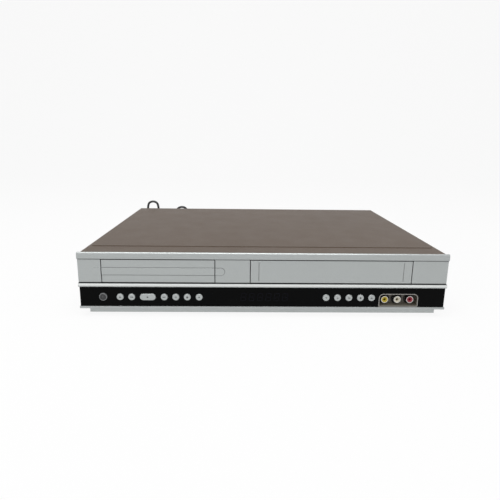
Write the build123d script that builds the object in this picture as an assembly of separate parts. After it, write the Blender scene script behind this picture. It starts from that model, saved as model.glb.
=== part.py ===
from build123d import *
import math
import os

os.makedirs("parts", exist_ok=True)

# A disc and cassette player: a full-width case with a disc drive on the left and a tape drive on the right.
# X runs along the front to the right, Y to the back and Z up, in millimetres. The origin is on the table,
# under the middle of the object without its mains lead.

# ---- case: widths and depths ---------------------------------------------------------------------------
case_width = 430.0
cover_length = 260.0
bezel_reach = 6.5  # nose of the bezel in front of the cover
connector_reach = 7.5  # aerial connectors behind the cover
cover_inset = 1.2  # cover's side inside the end of the bezel
cover_sheet = 0.8
cover_round = 3.0
cover_sink = 0.6  # cover's top below the top of the bezel
cover_lap = 3.3  # cover's top sheet forward over the bezel, up to its lip
lap_gap = 0.15
field_raise = 0.5  # shallow raised field of the cover
field_front = 22.0
field_side = 5.3
field_rear = 14.0
flange_drop = 9.0  # cover's lip over the rear panel
pan_sheet = 1.0
pan_wall = 18.0
panel_sheet = 1.0
seat_gap = 0.3

# ---- case: bands of the front, from the table up -------------------------------------------------------
foot_height = 4.9
foot_inset = 50.0  # foot centres from the ends of the case
plinth_band = 5.5
low_lip_band = 2.6
strip_band = 23.9
ridge_band = 4.9
door_band = 28.5
top_band = 8.2

# ---- bezel profile -------------------------------------------------------------------------------------
bezel_wall = 2.2
bezel_end_wall = 3.5
end_step = 0.3  # door field and strip stand inside the ends of the top band and ridge
ridge_stand = 2.0  # ridge in front of the door field
ridge_nose = 2.1
top_lip_stand = 0.8
top_lip_bulge = 0.25
top_lip_round = 2.0
low_lip_stand = 1.2
plinth_recess = 1.2
plinth_wall = 4.5
plinth_inset = 10.8
crease_depth = 0.6
crease_width = 0.5
strip_thick = 2.5
strip_stand = 0.2
strip_gap = 0.2

# ---- doors ---------------------------------------------------------------------------------------------
door_gap = 0.7
tape_door_width = 189.0
tape_door_x = 78.15
tape_door_swing_pin = 0.75
pin_running = 0.05
tray_front_width = 130.1
tray_front_thick = 2.6
tray_x = -122.8
rib_height = 8.7  # raised band across the tray front
rib_raise = 0.5
rib_overrun = 10.8  # the band's rounded ends beside the tray front

# ---- buttons, as x of each centre ----------------------------------------------------------------------
button_drop = 12.2  # button centres below the top of the strip
button_size = 8.0
button_gap = 0.4
button_stand = 1.5
button_flange = 1.25
button_flange_thick = 1.2
button_stem = 1.75
button_travel = 0.8
switch_size = 6.0
switch_gap = 1.0
standby_size = 9.4
play_length = 18.4
round_buttons = {
    "tray_button": -167.7,
    "skip_back_button": -154.4,
    "skip_forward_button": -116.6,
    "pause_button": -103.2,
    "stop_button": -89.8,
    "source_button": -76.0,
    "channel_down_button": 73.1,
    "channel_up_button": 86.6,
    "rewind_button": 100.1,
    "record_button": 113.7,
    "eject_button": 127.0,
}
standby_x = -187.3
play_x = -135.7

# ---- sockets -------------------------------------------------------------------------------------------
pocket_left = 136.0
pocket_right = 182.9
pocket_height = 16.2
pocket_round = 5.5
pocket_rim = 1.0
pocket_depth = 10.5
pocket_block = 4.5
well_radius = 6.6
jack_radius = 4.15
jack_wall = 0.55
jack_bore = 1.7
jack_reach = 7.8
jack_pitch = 15.1
front_jack_x = 143.9
front_jack_rise = 8.4  # jack centres above the foot of the strip
front_jack_recess = 2.2  # jack mouths behind the face of the strip
rear_jack_pitch = 15.0
rear_jack_columns = 5
rear_jack_x = 12.0
rear_jack_rows = (30.0, 52.0)
round_socket_x = 92.0
socket_block_depth = 13.0
aerial_inset = 22.0  # aerial connectors from the end of the case
aerial_rows = (28.0, 48.0)
aerial_radius = 4.75
aerial_bore = 1.6

# ---- disc drive ----------------------------------------------------------------------------------------
tray_inset = 1.05  # tray's sides inside the ends of its front
tray_length = 165.0
tray_thick = 6.0
tray_rise = 8.2  # underside of the tray above the foot of the door band
tray_travel = 135.0
tray_side_gap = 0.6
tray_lift_gap = 0.1
disc_seat = 60.5
small_disc_seat = 41.0
disc_back = 64.4  # disc centre behind the tray's front end
loader_wall = 2.5
loader_floor = 2.0
loader_below = 14.0
loader_above = 16.0
loader_front_gap = 10.0
loader_length = 170.0
gear_module = 1.0
tray_gear_teeth = 24
pinion_teeth = 12
gear_height = 5.0
gear_slack = 0.12
rack_inset = 7.5  # pitch line of the rack inside the tray's left edge
gear_back = 27.0  # gear axis behind the bezel's face
axle_gap = 0.05
traverse_half = 29.0
traverse_thick = 2.4
traverse_gap = 0.3
traverse_hinge_back = 106.0  # hinge behind the disc centre
traverse_front = 20.0
lens_slot_half = 25.5
pickup_start = 24.0
pickup_travel = 34.0
guide_rod_radius = 1.5
guide_rod_half = 20.0

# ---- tape drive ----------------------------------------------------------------------------------------
cassette_width = 187.0
cassette_height = 25.0
cassette_gap = 1.5
holder_sheet = 1.2
holder_length = 100.0
holder_front_gap = 32.0  # holder behind the bezel's face
holder_travel = 38.0
holder_drop = 14.0
slide_gap = 1.0
slide_pin = 2.0
slot_gap = 0.1
deck_sheet = 1.2
deck_rear_gap = 19.7  # between the deck and the rear panel
drum_radius = 31.0
drum_tilt = 6.0
drum_behind_deck_front = 177.0
lower_drum_height = 17.0
upper_drum_height = 19.7
drum_gap = 0.3
reel_half_pitch = 46.0
reel_back = 89.0
reel_radius = 22.0
capstan_offset = (58.0, -34.0)  # capstan from the drum centre
capstan_radius = 1.5
flywheel_radius = 28.0
flywheel_thick = 5.0
pinch_pivot_offset = (84.0, -9.0)
pinch_arm_length = 30.0
pinch_swing = 25.0
pinch_roller_radius = 6.5
pinch_touch_gap = 0.3
guide_start = (30.0, -47.0)  # tape guide from the drum centre, mirrored for the other
guide_end = (42.0, -8.0)
guide_post_height = 16.0
guide_key_length = 9.0
guide_key_width = 3.6
guide_key_gap = 0.2

# ---- boards --------------------------------------------------------------------------------------------
board_thick = 1.6
board_rise = 6.1
board_front_gap = 43.0  # front edge of the signal board behind the deck's
board_edge_gap = 0.5
chip_size = 22.0
small_chip_size = 9.0
front_board_back = 13.4

# ---- mains lead ----------------------------------------------------------------------------------------
cord_diameter = 4.0
gland_x = -128.0
gland_z = 40.0
gland_reach = 20.0
hank_x = -195.7
hank_half = 10.4
hank_rear_y = 172.0
hank_pitch = 4.6
hank_turns = 8
hank_tall_turn = 4
hank_low_top = 66.3  # centreline at the top of a low turn
hank_low_spread = 1.6
hank_tall_top = 86.2
hank_start_z = 22.0
tie_thick = 1.0
tie_height = 7.0
tie_gap = 0.3
plug_length = 26.0
plug_width = 19.0
plug_height = 12.6
blade_length = 17.0
blade_half_pitch = 6.35

# ---- levels and planes worked out from the values above ------------------------------------------------
pan_z = foot_height
floor_z = pan_z + pan_sheet
low_lip_z = pan_z + plinth_band
strip_z = low_lip_z + low_lip_band
ridge_z = strip_z + strip_band
door_z = ridge_z + ridge_band
top_band_z = door_z + door_band
case_height = top_band_z + top_band
cover_top = case_height - cover_sink
cover_under = cover_top - cover_sheet

front_y = -(bezel_reach + cover_length + connector_reach) / 2
face_y = front_y + ridge_stand
cover_y = front_y + bezel_reach
rear_edge_y = cover_y + cover_length
rear_y = rear_edge_y - cover_sheet
panel_inner_y = rear_y - panel_sheet
back_end_y = rear_edge_y + connector_reach
bezel_back_y = face_y + bezel_wall
ledge_y = face_y - strip_stand + strip_thick
strip_y = face_y - strip_stand
plinth_y = face_y + plinth_recess
plinth_back_y = plinth_y + plinth_wall
board_y = face_y + front_board_back

half_width = case_width / 2
plinth_half = half_width - plinth_inset
aerial_x = half_width - aerial_inset
foot_x = half_width - foot_inset
cover_half = half_width - cover_inset
inside_half = cover_half - cover_sheet
button_z = ridge_z - button_drop
door_height = door_band - door_gap
tape_opening = tape_door_width + 2 * door_gap
tray_opening = tray_front_width + 2 * door_gap

tray_half = tray_front_width / 2 - tray_inset
tray_z = door_z + tray_rise
tray_top = tray_z + tray_thick
tray_front_y = face_y + tray_front_thick
disc_y = tray_front_y + disc_back
loader_z = tray_z - loader_below
loader_top = tray_z + loader_above
loader_inner = tray_half + tray_side_gap
loader_half = loader_inner + loader_wall
loader_y = face_y + loader_front_gap
loader_rear_y = loader_y + loader_length
rack_x = tray_x - tray_half + rack_inset
tray_gear_radius = gear_module * tray_gear_teeth / 2
pinion_radius = gear_module * pinion_teeth / 2
gear_x = rack_x + tray_gear_radius
gear_y = face_y + gear_back
pinion_x = gear_x + tray_gear_radius + pinion_radius
gear_z = tray_z - gear_height - 1.0
hinge_y = disc_y + traverse_hinge_back
traverse_z = loader_z + loader_floor + traverse_gap

cassette_z = door_z + 0.5
holder_z = cassette_z - 1.0
holder_top = cassette_z + cassette_height + 0.7
holder_inner = cassette_width / 2 + cassette_gap
holder_half = holder_inner + holder_sheet
holder_y = face_y + holder_front_gap
slide_inner = holder_half + slide_gap
bracket_inner = slide_inner + 2 * holder_sheet
deck_half = bracket_inner + holder_sheet
deck_top = cassette_z - holder_drop - 3.1
deck_z = deck_top - deck_sheet
deck_y = holder_y
deck_length = panel_inner_y - deck_rear_gap - deck_y
drum_y = deck_y + drum_behind_deck_front
reel_y = deck_y + reel_back
board_z = floor_z + board_rise
board_top = board_z + board_thick


# ---- shapes used again and again -----------------------------------------------------------------------
def block(x0, x1, y0, y1, z0, z1):
    """A rectangular block between two opposite corners."""
    return Pos((x0 + x1) / 2, (y0 + y1) / 2, (z0 + z1) / 2) * Box(x1 - x0, y1 - y0, z1 - z0)


def along_x(outline, x0, x1):
    """A face drawn in (y, z), carried from x0 to x1."""
    return extrude(Plane(origin=(x0, 0, 0), x_dir=(0, 1, 0), z_dir=(1, 0, 0)) * outline, amount=x1 - x0)


def along_y(outline, y0, y1):
    """A face drawn in (x, z), carried from y0 to y1."""
    return extrude(Plane(origin=(0, y1, 0), x_dir=(1, 0, 0), z_dir=(0, -1, 0)) * outline, amount=y1 - y0)


def along_z(outline, z0, z1):
    """A face drawn in (x, y), carried from z0 to z1."""
    return extrude(Plane.XY.offset(z0) * outline, amount=z1 - z0)


def rod_x(x0, x1, y, z, radius):
    return along_x(Pos(y, z) * Circle(radius), x0, x1)


def rod_y(x, y0, y1, z, radius):
    return along_y(Pos(x, z) * Circle(radius), y0, y1)


def rod_z(x, y, z0, z1, radius):
    return along_z(Pos(x, y) * Circle(radius), z0, z1)


def group(pieces):
    """Separate solids that share one node."""
    return Compound([solid for piece in pieces for solid in piece.solids()])


def mirrored(centre, offset):
    """The two places at the same distance left and right of a centre."""
    return (centre - offset, centre + offset)


# ---- case ----------------------------------------------------------------------------------------------
pan_y = plinth_back_y
pan_notch_y = pan_y + 12.0
cover_side_z = low_lip_z - 2.5
vent_count = 14
vent_pitch = 6.0
vent_width = 2.4
vent_height = 26.0
vent_z = cover_side_z + 40.0
side_screw_z = floor_z + 10.0
side_screw_y = (cover_y + 60.0, rear_edge_y - 40.0)
rear_screw_x = (-half_width + 22.0, 0.0, half_width - 22.0)
rear_screw_z = cover_top - flange_drop / 2
screw_hole = 2.0
screw_shank = 1.8
screw_head = 3.5
screw_head_thick = 1.8
screw_length = 6.0
foot_radius = 15.0
foot_front_y = cover_y + 26.0
foot_rear_y = rear_edge_y - 30.0
post_radius = 4.0
board_post_radius = 3.0
deck_posts = [
    (x, y) for x in mirrored(tape_door_x, deck_half - 8.0) for y in (deck_y + 8.0, deck_y + deck_length - 8.0)
]
loader_posts = [
    (x, y) for x in mirrored(tray_x, tray_half - 4.0) for y in (loader_y + 11.0, loader_rear_y - 7.0)
]


def make_top_cover():
    """Bent sheet over the top and both sides, with a raised field, side vents and a lip over the rear panel."""
    lap_y = cover_y - cover_lap
    outer = block(-cover_half, cover_half, lap_y, rear_edge_y, cover_side_z, cover_top)
    outer = fillet(outer.edges().filter_by(Axis.Y).group_by(Axis.Z)[-1], cover_round)
    inner = block(-inside_half, inside_half, lap_y - 1, rear_edge_y + 1, cover_side_z - 1, cover_under)
    inner = fillet(inner.edges().filter_by(Axis.Y).group_by(Axis.Z)[-1], cover_round - cover_sheet)
    field_y0, field_y1 = cover_y + field_front, rear_edge_y - field_rear
    field_middle = Pos(0, (field_y0 + field_y1) / 2)
    field_width, field_length = 2 * (cover_half - field_side), field_y1 - field_y0
    field = along_z(field_middle * RectangleRounded(field_width, field_length, 4.0), cover_top - 0.1,
                    cover_top + field_raise)
    hollow = along_z(field_middle * RectangleRounded(field_width - 2 * cover_sheet, field_length - 2 * cover_sheet,
                                                     4.0 - cover_sheet), cover_under - 0.1, cover_under + field_raise)
    below_lap = block(-half_width, half_width, lap_y - 1, cover_y, cover_side_z - 1, cover_under)
    cover = outer - inner - below_lap + field - hollow
    flange_half = cover_half - 2 * cover_round
    cover += block(-flange_half, flange_half, rear_y, rear_edge_y, cover_top - flange_drop, cover_under + 0.1)
    slots = []
    for k in range(vent_count):
        y = rear_edge_y - 34.0 - k * vent_pitch
        slots.append(block(-half_width, half_width, y - vent_width / 2, y + vent_width / 2,
                           vent_z - vent_height / 2, vent_z + vent_height / 2))
    slots += [rod_x(-half_width, half_width, y, side_screw_z, screw_hole) for y in side_screw_y]
    slots += [rod_y(x, rear_y - 1, rear_edge_y + 1, rear_screw_z, screw_hole) for x in rear_screw_x]
    return cover - slots


def make_base_pan():
    """Steel tray with upturned edges and a raised step behind each end of the plinth."""
    floor = block(-inside_half, inside_half, pan_y, rear_y, pan_z, floor_z)
    walls = [
        block(-inside_half, -inside_half + pan_sheet, pan_notch_y, rear_y, pan_z, floor_z + pan_wall),
        block(inside_half - pan_sheet, inside_half, pan_notch_y, rear_y, pan_z, floor_z + pan_wall),
        block(-plinth_half + 4, plinth_half - 4, pan_y, pan_y + pan_sheet, pan_z, low_lip_z - 0.5),
    ]
    notches = [
        block(-inside_half - 1, -plinth_half, pan_y - 1, pan_notch_y, pan_z - 1, floor_z + 1),
        block(plinth_half, inside_half + 1, pan_y - 1, pan_notch_y, pan_z - 1, floor_z + 1),
    ]
    holes = [rod_x(-half_width, half_width, y, side_screw_z, screw_hole) for y in side_screw_y]
    pan = floor - notches + walls - holes
    corner_y = pan_notch_y + pan_sheet
    for side in (-1, 1):
        riser = sorted((side * (plinth_half - pan_sheet), side * plinth_half))
        shelf = sorted((side * (plinth_half - pan_sheet), side * inside_half))
        pan += block(*riser, pan_y, corner_y, pan_z, low_lip_z + pan_sheet)
        pan += block(*shelf, pan_notch_y, corner_y, pan_z, low_lip_z + pan_sheet)
        pan += block(*shelf, pan_y, corner_y, low_lip_z, low_lip_z + pan_sheet)
    return pan


def make_support_posts():
    """Round posts that stand on the pan under the drives and the boards."""
    posts = [rod_z(x, y, floor_z, deck_z, post_radius) for x, y in deck_posts]
    posts += [rod_z(x, y, floor_z, loader_z, post_radius) for x, y in loader_posts]
    posts += [rod_z(x, y, floor_z, board_z, board_post_radius) for x, y in board_posts]
    return group(posts)


def jack_centres():
    """Rear phono sockets as (x, z): two rows of equal columns."""
    columns = [rear_jack_x + k * rear_jack_pitch for k in range(rear_jack_columns)]
    return [(x, z) for z in rear_jack_rows for x in columns]


def make_rear_panel():
    """Flat steel plate with a hole for every socket, the gland and the cover's screws."""
    width = inside_half - pan_sheet
    plate = block(-width, width, panel_inner_y, rear_y, floor_z, cover_under)
    corner = cover_round - cover_sheet
    plate = chamfer(plate.edges().filter_by(Axis.Y).group_by(Axis.Z)[-1], corner)
    y0, y1 = panel_inner_y - 1, rear_y + 1
    holes = [rod_y(x, y0, y1, z, jack_radius + seat_gap) for x, z in jack_centres()]
    holes += [rod_y(aerial_x, y0, y1, z, aerial_radius + 0.05) for z in aerial_rows]
    holes.append(rod_y(round_socket_x, y0, y1, rear_jack_rows[-1], round_socket_radius + seat_gap))
    holes.append(rod_y(gland_x, y0, y1, gland_z, gland_neck + 0.05))
    holes += [rod_y(x, y0, y1, rear_screw_z, screw_hole) for x in rear_screw_x]
    for k in range(10):
        x = gland_x - 62.0 + k * 6.0
        holes.append(along_y(Pos(x, gland_z + 12.0) * SlotOverall(22.0, 2.4, rotation=90), y0, y1))
    return plate - holes


def bezel_front():
    """The bezel's outer line in (y, z), from the foot of the lower lip up to the cover."""
    ridge_root_y = face_y - ridge_stand / 2
    lip_y = face_y - top_lip_stand
    lower = Polyline(
        (cover_y, low_lip_z),
        (face_y - low_lip_stand, low_lip_z),
        (face_y - low_lip_stand, strip_z),
        (ledge_y, strip_z),
        (ledge_y, ridge_z),
        (ridge_root_y, ridge_z),
    )
    ridge_end_z = door_z - crease_width / 2
    ridge = ThreePointArc((ridge_root_y, ridge_z), (front_y, ridge_z + ridge_nose), (ridge_root_y, ridge_end_z))
    creases = [ridge_end_z, door_z + crease_width / 2, top_band_z - crease_width / 2, top_band_z + crease_width / 2]
    field = Polyline(
        (ridge_root_y, creases[0]),
        (face_y + crease_depth, creases[0]),
        (face_y + crease_depth, creases[1]),
        (face_y, creases[1]),
        (face_y, creases[2]),
        (face_y + crease_depth, creases[2]),
        (face_y + crease_depth, creases[3]),
        (lip_y, creases[3]),
    )
    bulge_z = (creases[3] + case_height - top_lip_round) / 2
    band = ThreePointArc((lip_y, creases[3]), (lip_y - top_lip_bulge, bulge_z), (lip_y, case_height - top_lip_round))
    corner_y = lip_y + top_lip_round * (1 - math.sqrt(0.5))
    corner_z = case_height - top_lip_round * (1 - math.sqrt(0.5))
    corner = ThreePointArc((lip_y, case_height - top_lip_round), (corner_y, corner_z),
                           (lip_y + top_lip_round, case_height))
    return [lower, ridge, field, band, corner, Line((lip_y + top_lip_round, case_height), (cover_y, case_height))]


def rib_with_round_ends(length, y0, y1):
    """The raised band across the tray front and a little past it, with half-round ends."""
    return along_y(Pos(tray_x, rib_z + rib_height / 2) * SlotOverall(length, rib_height), y0, y1)


def pocket_outline(grow):
    """Outline in (x, z) of the socket pocket, with round upper corners."""
    width = pocket_right - pocket_left + 2 * grow
    height = pocket_height + 2 * grow
    plate = Pos((pocket_left + pocket_right) / 2, pocket_z + pocket_height / 2) * Rectangle(width, height)
    return fillet(plate.vertices().group_by(Axis.Y)[-1], pocket_round + grow)


def button_windows(margin):
    """One face per button in (x, z), grown by a margin."""
    windows = [Pos(x, button_z) * Circle(button_size / 2 + margin) for x in round_buttons.values()]
    windows.append(Pos(standby_x, button_z) * Circle(standby_size / 2 + margin))
    windows.append(Pos(play_x, button_z) * SlotOverall(play_length + 2 * margin, button_size + 2 * margin))
    return windows


def make_front_bezel():
    """Moulded front: one wall of even thickness with closed ends, two door openings and a pocket for the strip."""
    front = bezel_front()
    inner_z = ridge_z + bezel_wall
    lining = Polyline(
        (cover_y, case_height),
        (cover_y, case_height - bezel_wall),
        (bezel_back_y, case_height - bezel_wall),
        (bezel_back_y, inner_z),
        (cover_y, inner_z),
        (cover_y, low_lip_z),
    )
    bezel = along_x(make_face(front + [lining]), -half_width, half_width)
    plinth = block(-plinth_half, plinth_half, plinth_y, plinth_back_y, pan_z, low_lip_z + bezel_wall)
    plinth += block(-plinth_half, plinth_half, plinth_y, cover_y + 1, low_lip_z, low_lip_z + bezel_wall)
    solid_end = make_face(front + [Line((cover_y, case_height), (cover_y, low_lip_z))])
    bezel += plinth
    bezel += along_x(solid_end, -half_width, -half_width + bezel_end_wall)
    bezel += along_x(solid_end, half_width - bezel_end_wall, half_width)
    far_y = cover_y + 1
    for side in (-1, 1):
        x0, x1 = sorted((side * (half_width - end_step), side * (half_width + 1)))
        bezel -= block(x0, x1, front_y - 1, far_y, door_z - crease_width / 2, top_band_z + crease_width / 2)
        bezel -= block(x0, x1, front_y - 1, far_y, strip_z, ridge_z)
        x0, x1 = sorted((side * (inside_half - bezel_wall), side * inside_half))
        bezel += block(x0, x1, cover_y - 1, cover_y + 9, strip_z + 8, door_z + 18)
    bezel -= block(-half_width - 1, half_width + 1, cover_y - cover_lap - lap_gap, far_y, cover_under - lap_gap,
                   case_height + 1)
    for x in mirrored(0, 150.0) + mirrored(0, 50.0):
        bezel += block(x - 8, x + 8, cover_y - 2, cover_y + 7, cover_under - 2, cover_under)
    bezel += rib_with_round_ends(tray_opening + 2 * rib_overrun, face_y - rib_raise, face_y + 0.1)
    door_z0, door_z1 = door_z - door_gap / 2, top_band_z + door_gap / 2
    for centre, width in ((tray_x, tray_opening), (tape_door_x, tape_opening)):
        bezel -= block(centre - width / 2, centre + width / 2, front_y - 1, cover_y, door_z0, door_z1)
    bezel -= rod_x(tape_door_x - tape_opening / 2 - 2.3, tape_door_x + tape_opening / 2 + 2.3, flap_axis_y,
                   flap_axis_z, tape_door_swing_pin + pin_running)
    bezel -= [along_y(w, ledge_y - 1, far_y) for w in button_windows(button_flange + 0.6)]
    bezel -= block(display_x0 - 1, display_x1 + 1, ledge_y - 1, far_y, display_z0 - 1, display_z1 + 1)
    bezel -= along_y(pocket_outline(0.1), ledge_y - 1, far_y)
    bezel += [rod_y(x, ledge_y + 0.5, board_y, boss_z, boss_radius) for x in boss_x]
    return bezel


def make_control_strip():
    """Glossy black strip with a hole for each button and the open-footed cut-out for the sockets."""
    half = half_width - end_step - 0.3
    strip = block(-half, half, strip_y, ledge_y, strip_z + strip_gap, ridge_z - strip_gap)
    strip = fillet(strip.edges().filter_by(Axis.Z).group_by(Axis.Y)[0], 0.6)
    holes = [along_y(window, strip_y - 1, ledge_y + 1) for window in button_windows(button_gap)]
    holes.append(along_y(pocket_outline(0.1), strip_y - 1, ledge_y + 1))
    holes.append(block(pocket_left - 0.1, pocket_right + 0.1, strip_y - 1, ledge_y + 1, strip_z, pocket_z + 1))
    return strip - holes


def make_rubber_feet():
    """Four round feet, a little wider at the top."""
    feet = []
    for x in mirrored(0, foot_x):
        for y in (foot_front_y, foot_rear_y):
            sketch = [Plane.XY * (Pos(x, y) * Circle(foot_radius - 1)),
                      Plane.XY.offset(foot_height) * (Pos(x, y) * Circle(foot_radius))]
            feet.append(loft(sketch))
    return group(feet)


def make_case_screws():
    """Pan-head screws through the cover's sides and its rear lip."""
    screws = []
    for y in side_screw_y:
        for side in (-1, 1):
            head = sorted((side * cover_half, side * (cover_half + 0.9)))
            shank = sorted((side * (cover_half - screw_length), side * (cover_half + 0.1)))
            screws.append(rod_x(*head, y, side_screw_z, screw_head) + rod_x(*shank, y, side_screw_z, screw_shank))
    for x in rear_screw_x:
        head = rod_y(x, rear_edge_y, rear_edge_y + screw_head_thick, rear_screw_z, screw_head)
        screws.append(head + rod_y(x, rear_edge_y - screw_length, rear_edge_y + 0.1, rear_screw_z, screw_shank))
    return group(screws)


# ---- buttons and doors ---------------------------------------------------------------------------------
boss_radius = 2.2
boss_z = ridge_z - 4.1
boss_x = (standby_x + 10.0, play_x + 10.0, tape_door_x - 35.0, tape_door_x + 29.3)
display_x0, display_x1 = -30.0, 33.0
display_z0, display_z1 = button_z - 7.5, button_z + 7.5
pocket_z = strip_z + 0.3
flap_axis_y = face_y + bezel_wall / 2
flap_axis_z = door_z + door_gap / 2 + door_height - bezel_wall / 2
rib_z = door_z + (door_band - rib_height) / 2 - 0.3
front_board_z = pan_z + 9.0
front_board_top = ridge_z - 1.6


def make_button(outline, flange, x, stem_offset):
    """A cap with a domed face, a flange behind the strip and a stem that ends just short of its switch."""
    face = strip_y - button_stand
    cap = along_y(outline, face, ledge_y + 0.2)
    front_edges = cap.faces().sort_by(Axis.Y)[0].edges()
    cap = fillet(front_edges, button_stand / 2)
    cap += along_y(flange, ledge_y + 0.1, ledge_y + 0.1 + button_flange_thick)
    stem_end = board_y - switch_thick - switch_gap
    stems = [rod_y(x + offset, ledge_y + 0.1, stem_end, button_z, button_stem) for offset in stem_offset]
    return cap + stems


def make_buttons():
    """Every button by name: round ones, the standby button and the long play button."""
    buttons = {}
    for name, x in round_buttons.items():
        cap = Pos(x, button_z) * Circle(button_size / 2)
        flange = Pos(x, button_z) * Circle(button_size / 2 + button_flange)
        buttons[name] = make_button(cap, flange, x, (0,))
    cap = Pos(standby_x, button_z) * Circle(standby_size / 2)
    flange = Pos(standby_x, button_z) * Circle(standby_size / 2 + button_flange)
    buttons["standby_button"] = make_button(cap, flange, standby_x, (0,))
    cap = Pos(play_x, button_z) * SlotOverall(play_length, button_size)
    grown = 2 * button_flange
    flange = Pos(play_x, button_z) * SlotOverall(play_length + grown, button_size + grown)
    buttons["play_button"] = make_button(cap, flange, play_x, (0,))
    return buttons


def make_tape_door():
    """Hinged flap: a plate with a full-round upper edge and a pin at each end."""
    x0, x1 = tape_door_x - tape_door_width / 2, tape_door_x + tape_door_width / 2
    radius = bezel_wall / 2
    foot = door_z + door_gap / 2
    door = block(x0, x1, face_y, bezel_back_y, foot, flap_axis_z)
    door = fillet(door.edges().filter_by(Axis.X).group_by(Axis.Z)[0].group_by(Axis.Y)[0], 0.5)
    door += rod_x(x0, x1, flap_axis_y, flap_axis_z, radius)
    inset = 9.8
    for x in (x0 + inset, x1 - inset):
        door -= block(x - 0.4, x + 0.4, face_y - 1, face_y + 0.25, foot + 2.5, flap_axis_z - 1.5)
    return door + rod_x(x0 - 2.0, x1 + 2.0, flap_axis_y, flap_axis_z, tape_door_swing_pin)


def make_tray_front():
    """Plate on the end of the disc tray, with the raised band that lines up with the bezel's."""
    x0, x1 = tray_x - tray_front_width / 2, tray_x + tray_front_width / 2
    foot = door_z + door_gap / 2
    plate = block(x0, x1, face_y, tray_front_y, foot, foot + door_height)
    plate = fillet(plate.edges().filter_by(Axis.X).group_by(Axis.Y)[0], 0.5)
    band = block(x0, x1, face_y - rib_raise, face_y + 0.1, rib_z, rib_z + rib_height)
    band = chamfer(band.edges().filter_by(Axis.X).group_by(Axis.Y)[0], 0.3)
    return plate + band


# ---- sockets -------------------------------------------------------------------------------------------
round_socket_radius = 6.0
gland_neck = 5.0
switch_thick = 4.3
front_jack_z = strip_z + front_jack_rise
front_jacks = [front_jack_x + k * jack_pitch for k in range(3)]
front_jack_y = strip_y + front_jack_recess


def make_av_pocket():
    """Moulded cup behind the strip's cut-out, its back wall hollowed round each socket."""
    back_y = strip_y + pocket_depth
    shell = along_y(pocket_outline(0), strip_y - 0.1, back_y + 1.2)
    shell -= along_y(pocket_outline(-pocket_rim), strip_y - 1, back_y)
    block_face_y = back_y - pocket_block
    shell += along_y(pocket_outline(-pocket_rim / 2), block_face_y, back_y + 0.1)
    shell -= [rod_y(x, block_face_y - 1, back_y - 0.5, front_jack_z, well_radius) for x in front_jacks]
    return shell - [rod_y(x, back_y - 1, back_y + 2, front_jack_z, jack_radius) for x in front_jacks]


def make_jack_shell(x, y0, y1, z):
    tube = rod_y(x, y0, y1, z, jack_radius)
    return tube - rod_y(x, y0 - 1, y1 + 1, z, jack_radius - jack_wall)


def make_jack_ring(x, y0, y1, z):
    ring = rod_y(x, y0, y1, z, jack_radius - jack_wall)
    return ring - rod_y(x, y0 - 1, y1 + 1, z, jack_bore)


def make_jacks():
    """Phono sockets front and rear: plated shells, and the coloured rings inside them."""
    shells = [make_jack_shell(x, front_jack_y, board_y, front_jack_z) for x in front_jacks]
    rings = [make_jack_ring(x, front_jack_y + 0.3, board_y - 1, front_jack_z) for x in front_jacks]
    rear_start = panel_inner_y - socket_block_depth + 2
    for x, z in jack_centres():
        shells.append(make_jack_shell(x, rear_start, rear_y + jack_reach, z))
        rings.append(make_jack_ring(x, rear_start + 1, rear_y + jack_reach - 0.3, z))
    return group(shells), group(rings)


def make_black_sockets():
    """The block that holds the rear phono sockets, and the round multi-pin socket beside it."""
    x0 = rear_jack_x - rear_jack_pitch * 0.6
    x1 = rear_jack_x + rear_jack_pitch * (rear_jack_columns - 0.4)
    body = block(x0, x1, panel_inner_y - socket_block_depth, panel_inner_y, board_top, rear_jack_rows[-1] + 9)
    body -= [rod_y(x, panel_inner_y - socket_block_depth + 2, rear_y, z, jack_radius) for x, z in jack_centres()]
    z = rear_jack_rows[-1]
    round_socket = block(round_socket_x - 8, round_socket_x + 8, panel_inner_y - socket_block_depth, panel_inner_y,
                         board_top, z + 9)
    round_socket += rod_y(round_socket_x, panel_inner_y - 1, rear_y + 1.5, z, round_socket_radius)
    well = rod_y(round_socket_x, rear_y - 6, rear_y + 2, z, round_socket_radius - 1.2)
    well -= rod_y(round_socket_x, rear_y - 7, rear_y + 1, z, 1.4)
    return group([body, round_socket - well])


def make_rf_connectors():
    """Two aerial connectors: a six-sided base on the panel, a barrel with a blind bore, and a stub inside."""
    connectors = []
    for z in aerial_rows:
        centre = Pos(aerial_x, z)
        base = along_y(centre * RegularPolygon(7.0, 6), rear_y, rear_y + 1.5)
        barrel = along_y(centre * Circle(aerial_radius), panel_inner_y - 3, back_end_y)
        connectors.append(base + barrel - along_y(centre * Circle(aerial_bore), back_end_y - 6, back_end_y + 1))
    return group(connectors)


# ---- disc drive ----------------------------------------------------------------------------------------
def gear_outline(teeth, slack):
    """A spur gear's outline: straight flanks from root to tip through the pitch circle, thinned by slack."""
    pitch_radius = gear_module * teeth / 2
    tip, root = pitch_radius + 0.9 * gear_module, pitch_radius - 1.25 * gear_module
    half = math.pi / teeth / 2 * (1 - slack)
    lean = math.tan(math.radians(20))
    tip_half = half - 0.9 * gear_module * lean / tip
    root_half = half + 1.0 * gear_module * lean / root
    points = []
    for k in range(teeth):
        middle = 2 * math.pi * k / teeth
        for radius, angle in ((root, -root_half), (tip, -tip_half), (tip, tip_half), (root, root_half)):
            points.append((radius * math.cos(middle + angle), radius * math.sin(middle + angle)))
    return make_face(Polyline(*points, close=True))


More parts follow.
